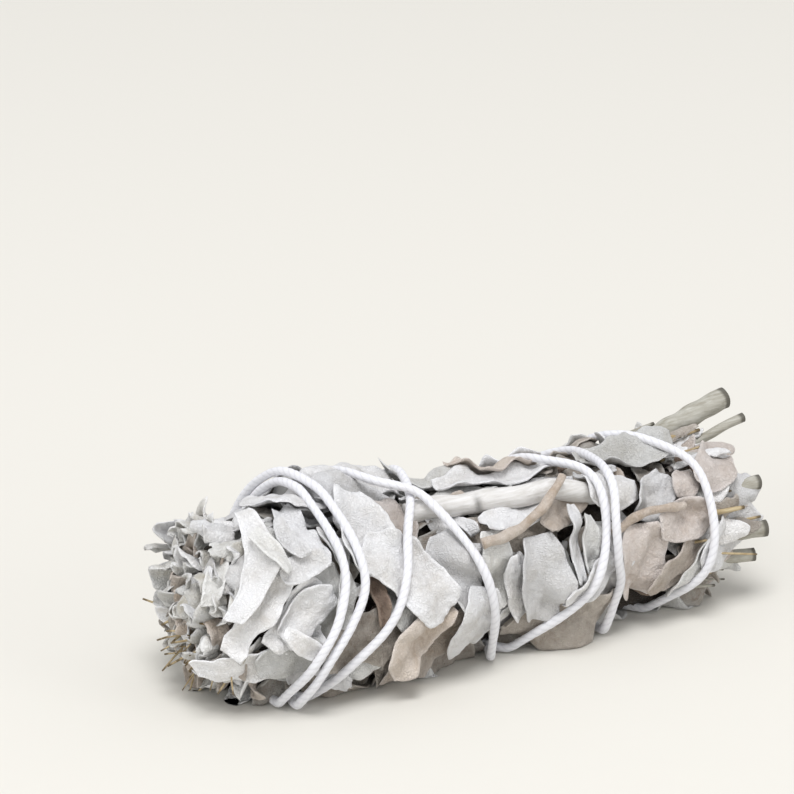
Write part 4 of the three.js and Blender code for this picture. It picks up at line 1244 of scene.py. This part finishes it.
for k in range(46):
    degrees, radius = rng.normal(165, 40), rng.uniform(3, 11.5)
    far = radius / 13
    lean = radians(12 + 34 * far + rng.uniform(-25, 20))
    out = leaning(degrees, lean, -1)
    root = place(TIP_X + 0.2 + 5.0 * far**3, degrees, radius)
    size = rng.uniform(5.0, 7.5)
    bend = rng.normal(0, 1.3, 3)
    path = smooth_path([root, root + out * size * 0.55 + bend * 0.4, root + out * size + bend], 16)
    thick = rng.uniform(0.35, 0.75)
    rod_piece(f"packed_straw_{k + 1:02d}", path, thick, "straw", ("packed_sprigs",), taper=0.5)

# Cut stalks and leaf bases at the butt

butts = {"grey": [], "pink": [], "white": [], "taupe": []}
for radius, count in ((5, 4), (12, 12)):
    for k in range(count):
        degrees = 360 * (k + between(-0.3, 0.3)) / count + radius * 30
        lean = radians(between(0, 22) * (radius / 11))
        out = leaning(degrees, lean, 1)
        wide = across_from(out, degrees, radians(between(-40, 40)))
        root = place(BUTT_X - 3, degrees, radius)
        length = between(6, 10) * (1.3 if radius > 10 else 1)
        width = between(3, 5.6)
        bend = between(-0.8, 1.2)
        tone = ["grey", "white", "pink", "taupe"][k % 4]
        butts[tone].append(
            standing_leaf(root, out, wide, length, width, bend, rng.uniform(0.4, 1.4), rng.uniform(-0.6, 0.6))
        )
for radius, count in ((3, 8), (7.5, 14), (12, 22), (13.6, 20)):
    for k in range(count):
        degrees = 360 * (k + rng.uniform(-0.3, 0.3)) / count + radius * 17
        lean = radians(rng.uniform(0, 20) * radius / 12)
        out = leaning(degrees, lean, 1)
        wide = across_from(out, degrees, radians(rng.uniform(-50, 50)))
        root = place(BUTT_X - 4, degrees, radius)
        tone = ["grey", "white", "pink", "taupe"][rng.integers(4)]
        butts[tone].append(
            standing_leaf(
                root, out, wide, rng.uniform(6, 11) + 0.15 * radius, rng.uniform(2.0, 6.0),
                rng.uniform(-1.0, 1.3), rng.uniform(0.4, 1.6), rng.uniform(-1.0, 0.8),
            )
        )
# degrees round, how far it rises, length, width
BIG_BUTT_LEAVES = [(62, 0.22, 14.5, 8.0), (82, 0.05, 12.5, 6.5), (25, 0.2, 13.0, 6.5), (100, 0.1, 12, 5.5)]
for degrees, rise, length, width in BIG_BUTT_LEAVES:
    out = np.array([1.0, 0.0, 0.0]) + outward_at(degrees) * rise
    out /= np.linalg.norm(out)
    root = place(BUTT_X - 2.5, degrees, 13.2)
    sheet = standing_leaf(root, out, across_from(out, degrees, 0.2), length, width, 1.0, 0.8, 0.3, ragged=1.0)
    butts["white" if degrees != 25 else "pink"].append(sheet)
for k in range(22):
    degrees = rng.uniform(-50, 130)
    x, radius = rng.uniform(36, 44), rng.uniform(11, 15.5)
    root = place(x, degrees, radius)
    out = np.array([1.0, 0.0, 0.0]) + outward_at(degrees) * rng.uniform(-0.05, 0.28)
    size = rng.uniform(6, 12)
    bend = rng.normal(0, 0.7, 3)
    path = smooth_path([root, root + out * size * 0.5 + bend * 0.5, root + out * size + bend], 18)
    path[:, 0] = np.minimum(path[:, 0], 59)
    tone = "straw" if k % 2 else "stem"
    path = press(path)
    thick = rng.uniform(0.5, 1.2)
    rod_piece(f"packed_splinter_{k + 1:02d}", path, thick, tone, ("packed_sprigs",), taper=0.4)
for tone, sheets in butts.items():
    join_sheets(f"packed_butt_{tone}", sheets, tone, ("packed_sprigs",))


# Surroundings: pale floor, soft studio light, and the camera of the photograph

def pale_floor():
    m, tree, bsdf, coords = new_material("floor_pale", 0.9)
    colour = mix(tree, noise(tree, coords, 3.0, 2), (0.72, 0.70, 0.645), (0.73, 0.71, 0.655))
    tree.links.new(colour, bsdf.inputs["Base Color"])
    bpy.ops.mesh.primitive_plane_add(size=12, location=(0, 0, -0.0001))
    floor = bpy.context.object
    floor.name = "floor"
    floor.data.materials.append(m)


def area(name, location, target, size, power, colour=(1, 1, 1)):
    light = bpy.data.lights.new(name, "AREA")
    light.shape = "DISK"
    light.size = size
    light.energy = power
    light.color = colour
    o = bpy.data.objects.new(name, light)
    o.location = location
    o.rotation_euler = (Vector(target) - Vector(location)).to_track_quat("-Z", "Y").to_euler()
    bpy.context.scene.collection.objects.link(o)


bpy.context.scene.view_settings.view_transform = "Standard"
pale_floor()
area("key", (-0.45, -0.75, 2.40), (0, 0, 0.015), 1.2, 43.0, (0.985, 0.985, 1.0))
area("fill", (1.5, -2.4, 0.90), (0, 0, 0.015), 1.5, 12.6, (0.97, 0.98, 1.0))
area("left", (-2.7, -1.05, 0.90), (0, 0, 0.015), 1.5, 15.3, (0.96, 0.98, 1.0))

world = bpy.data.worlds.new("soft_studio")
bpy.context.scene.world = world
world.use_nodes = True
world.node_tree.nodes["Background"].inputs["Color"].default_value = (0.98, 0.985, 1.0, 1)
world.node_tree.nodes["Background"].inputs["Strength"].default_value = 0.64

IMAGE_SIDE = 794.0
CAMERA_AZIMUTH, CAMERA_ELEVATION, CAMERA_DISTANCE = -30.0, 20.0, 0.620
FOCAL_PIXELS = 3500.0
ANCHOR = Vector((0.0 - ORIGIN_X * MM, 0.0 - ORIGIN_Y * MM, 0.019 - 0.0025))
ANCHOR_PIXEL = (462.0, 548.0)


def photo_camera():
    data = bpy.data.cameras.new("camera")
    camera = bpy.data.objects.new("camera", data)
    bpy.context.scene.collection.objects.link(camera)
    a, e = radians(CAMERA_AZIMUTH), radians(CAMERA_ELEVATION)
    back_way = Vector((sin(a) * cos(e), -cos(a) * cos(e), sin(e)))
    right = Vector((cos(a), sin(a), 0))
    up = back_way.cross(right)
    dx = (ANCHOR_PIXEL[0] - IMAGE_SIDE / 2) / FOCAL_PIXELS * CAMERA_DISTANCE
    dy = -(ANCHOR_PIXEL[1] - IMAGE_SIDE / 2) / FOCAL_PIXELS * CAMERA_DISTANCE
    camera.location = ANCHOR + back_way * CAMERA_DISTANCE - right * dx - up * dy
    camera.rotation_euler = (-back_way).to_track_quat("-Z", "Y").to_euler()
    data.sensor_width = 36.0
    data.lens = 36.0 * FOCAL_PIXELS / IMAGE_SIDE
    data.clip_start, data.clip_end = 0.01, 50
    bpy.context.scene.camera = camera


photo_camera()
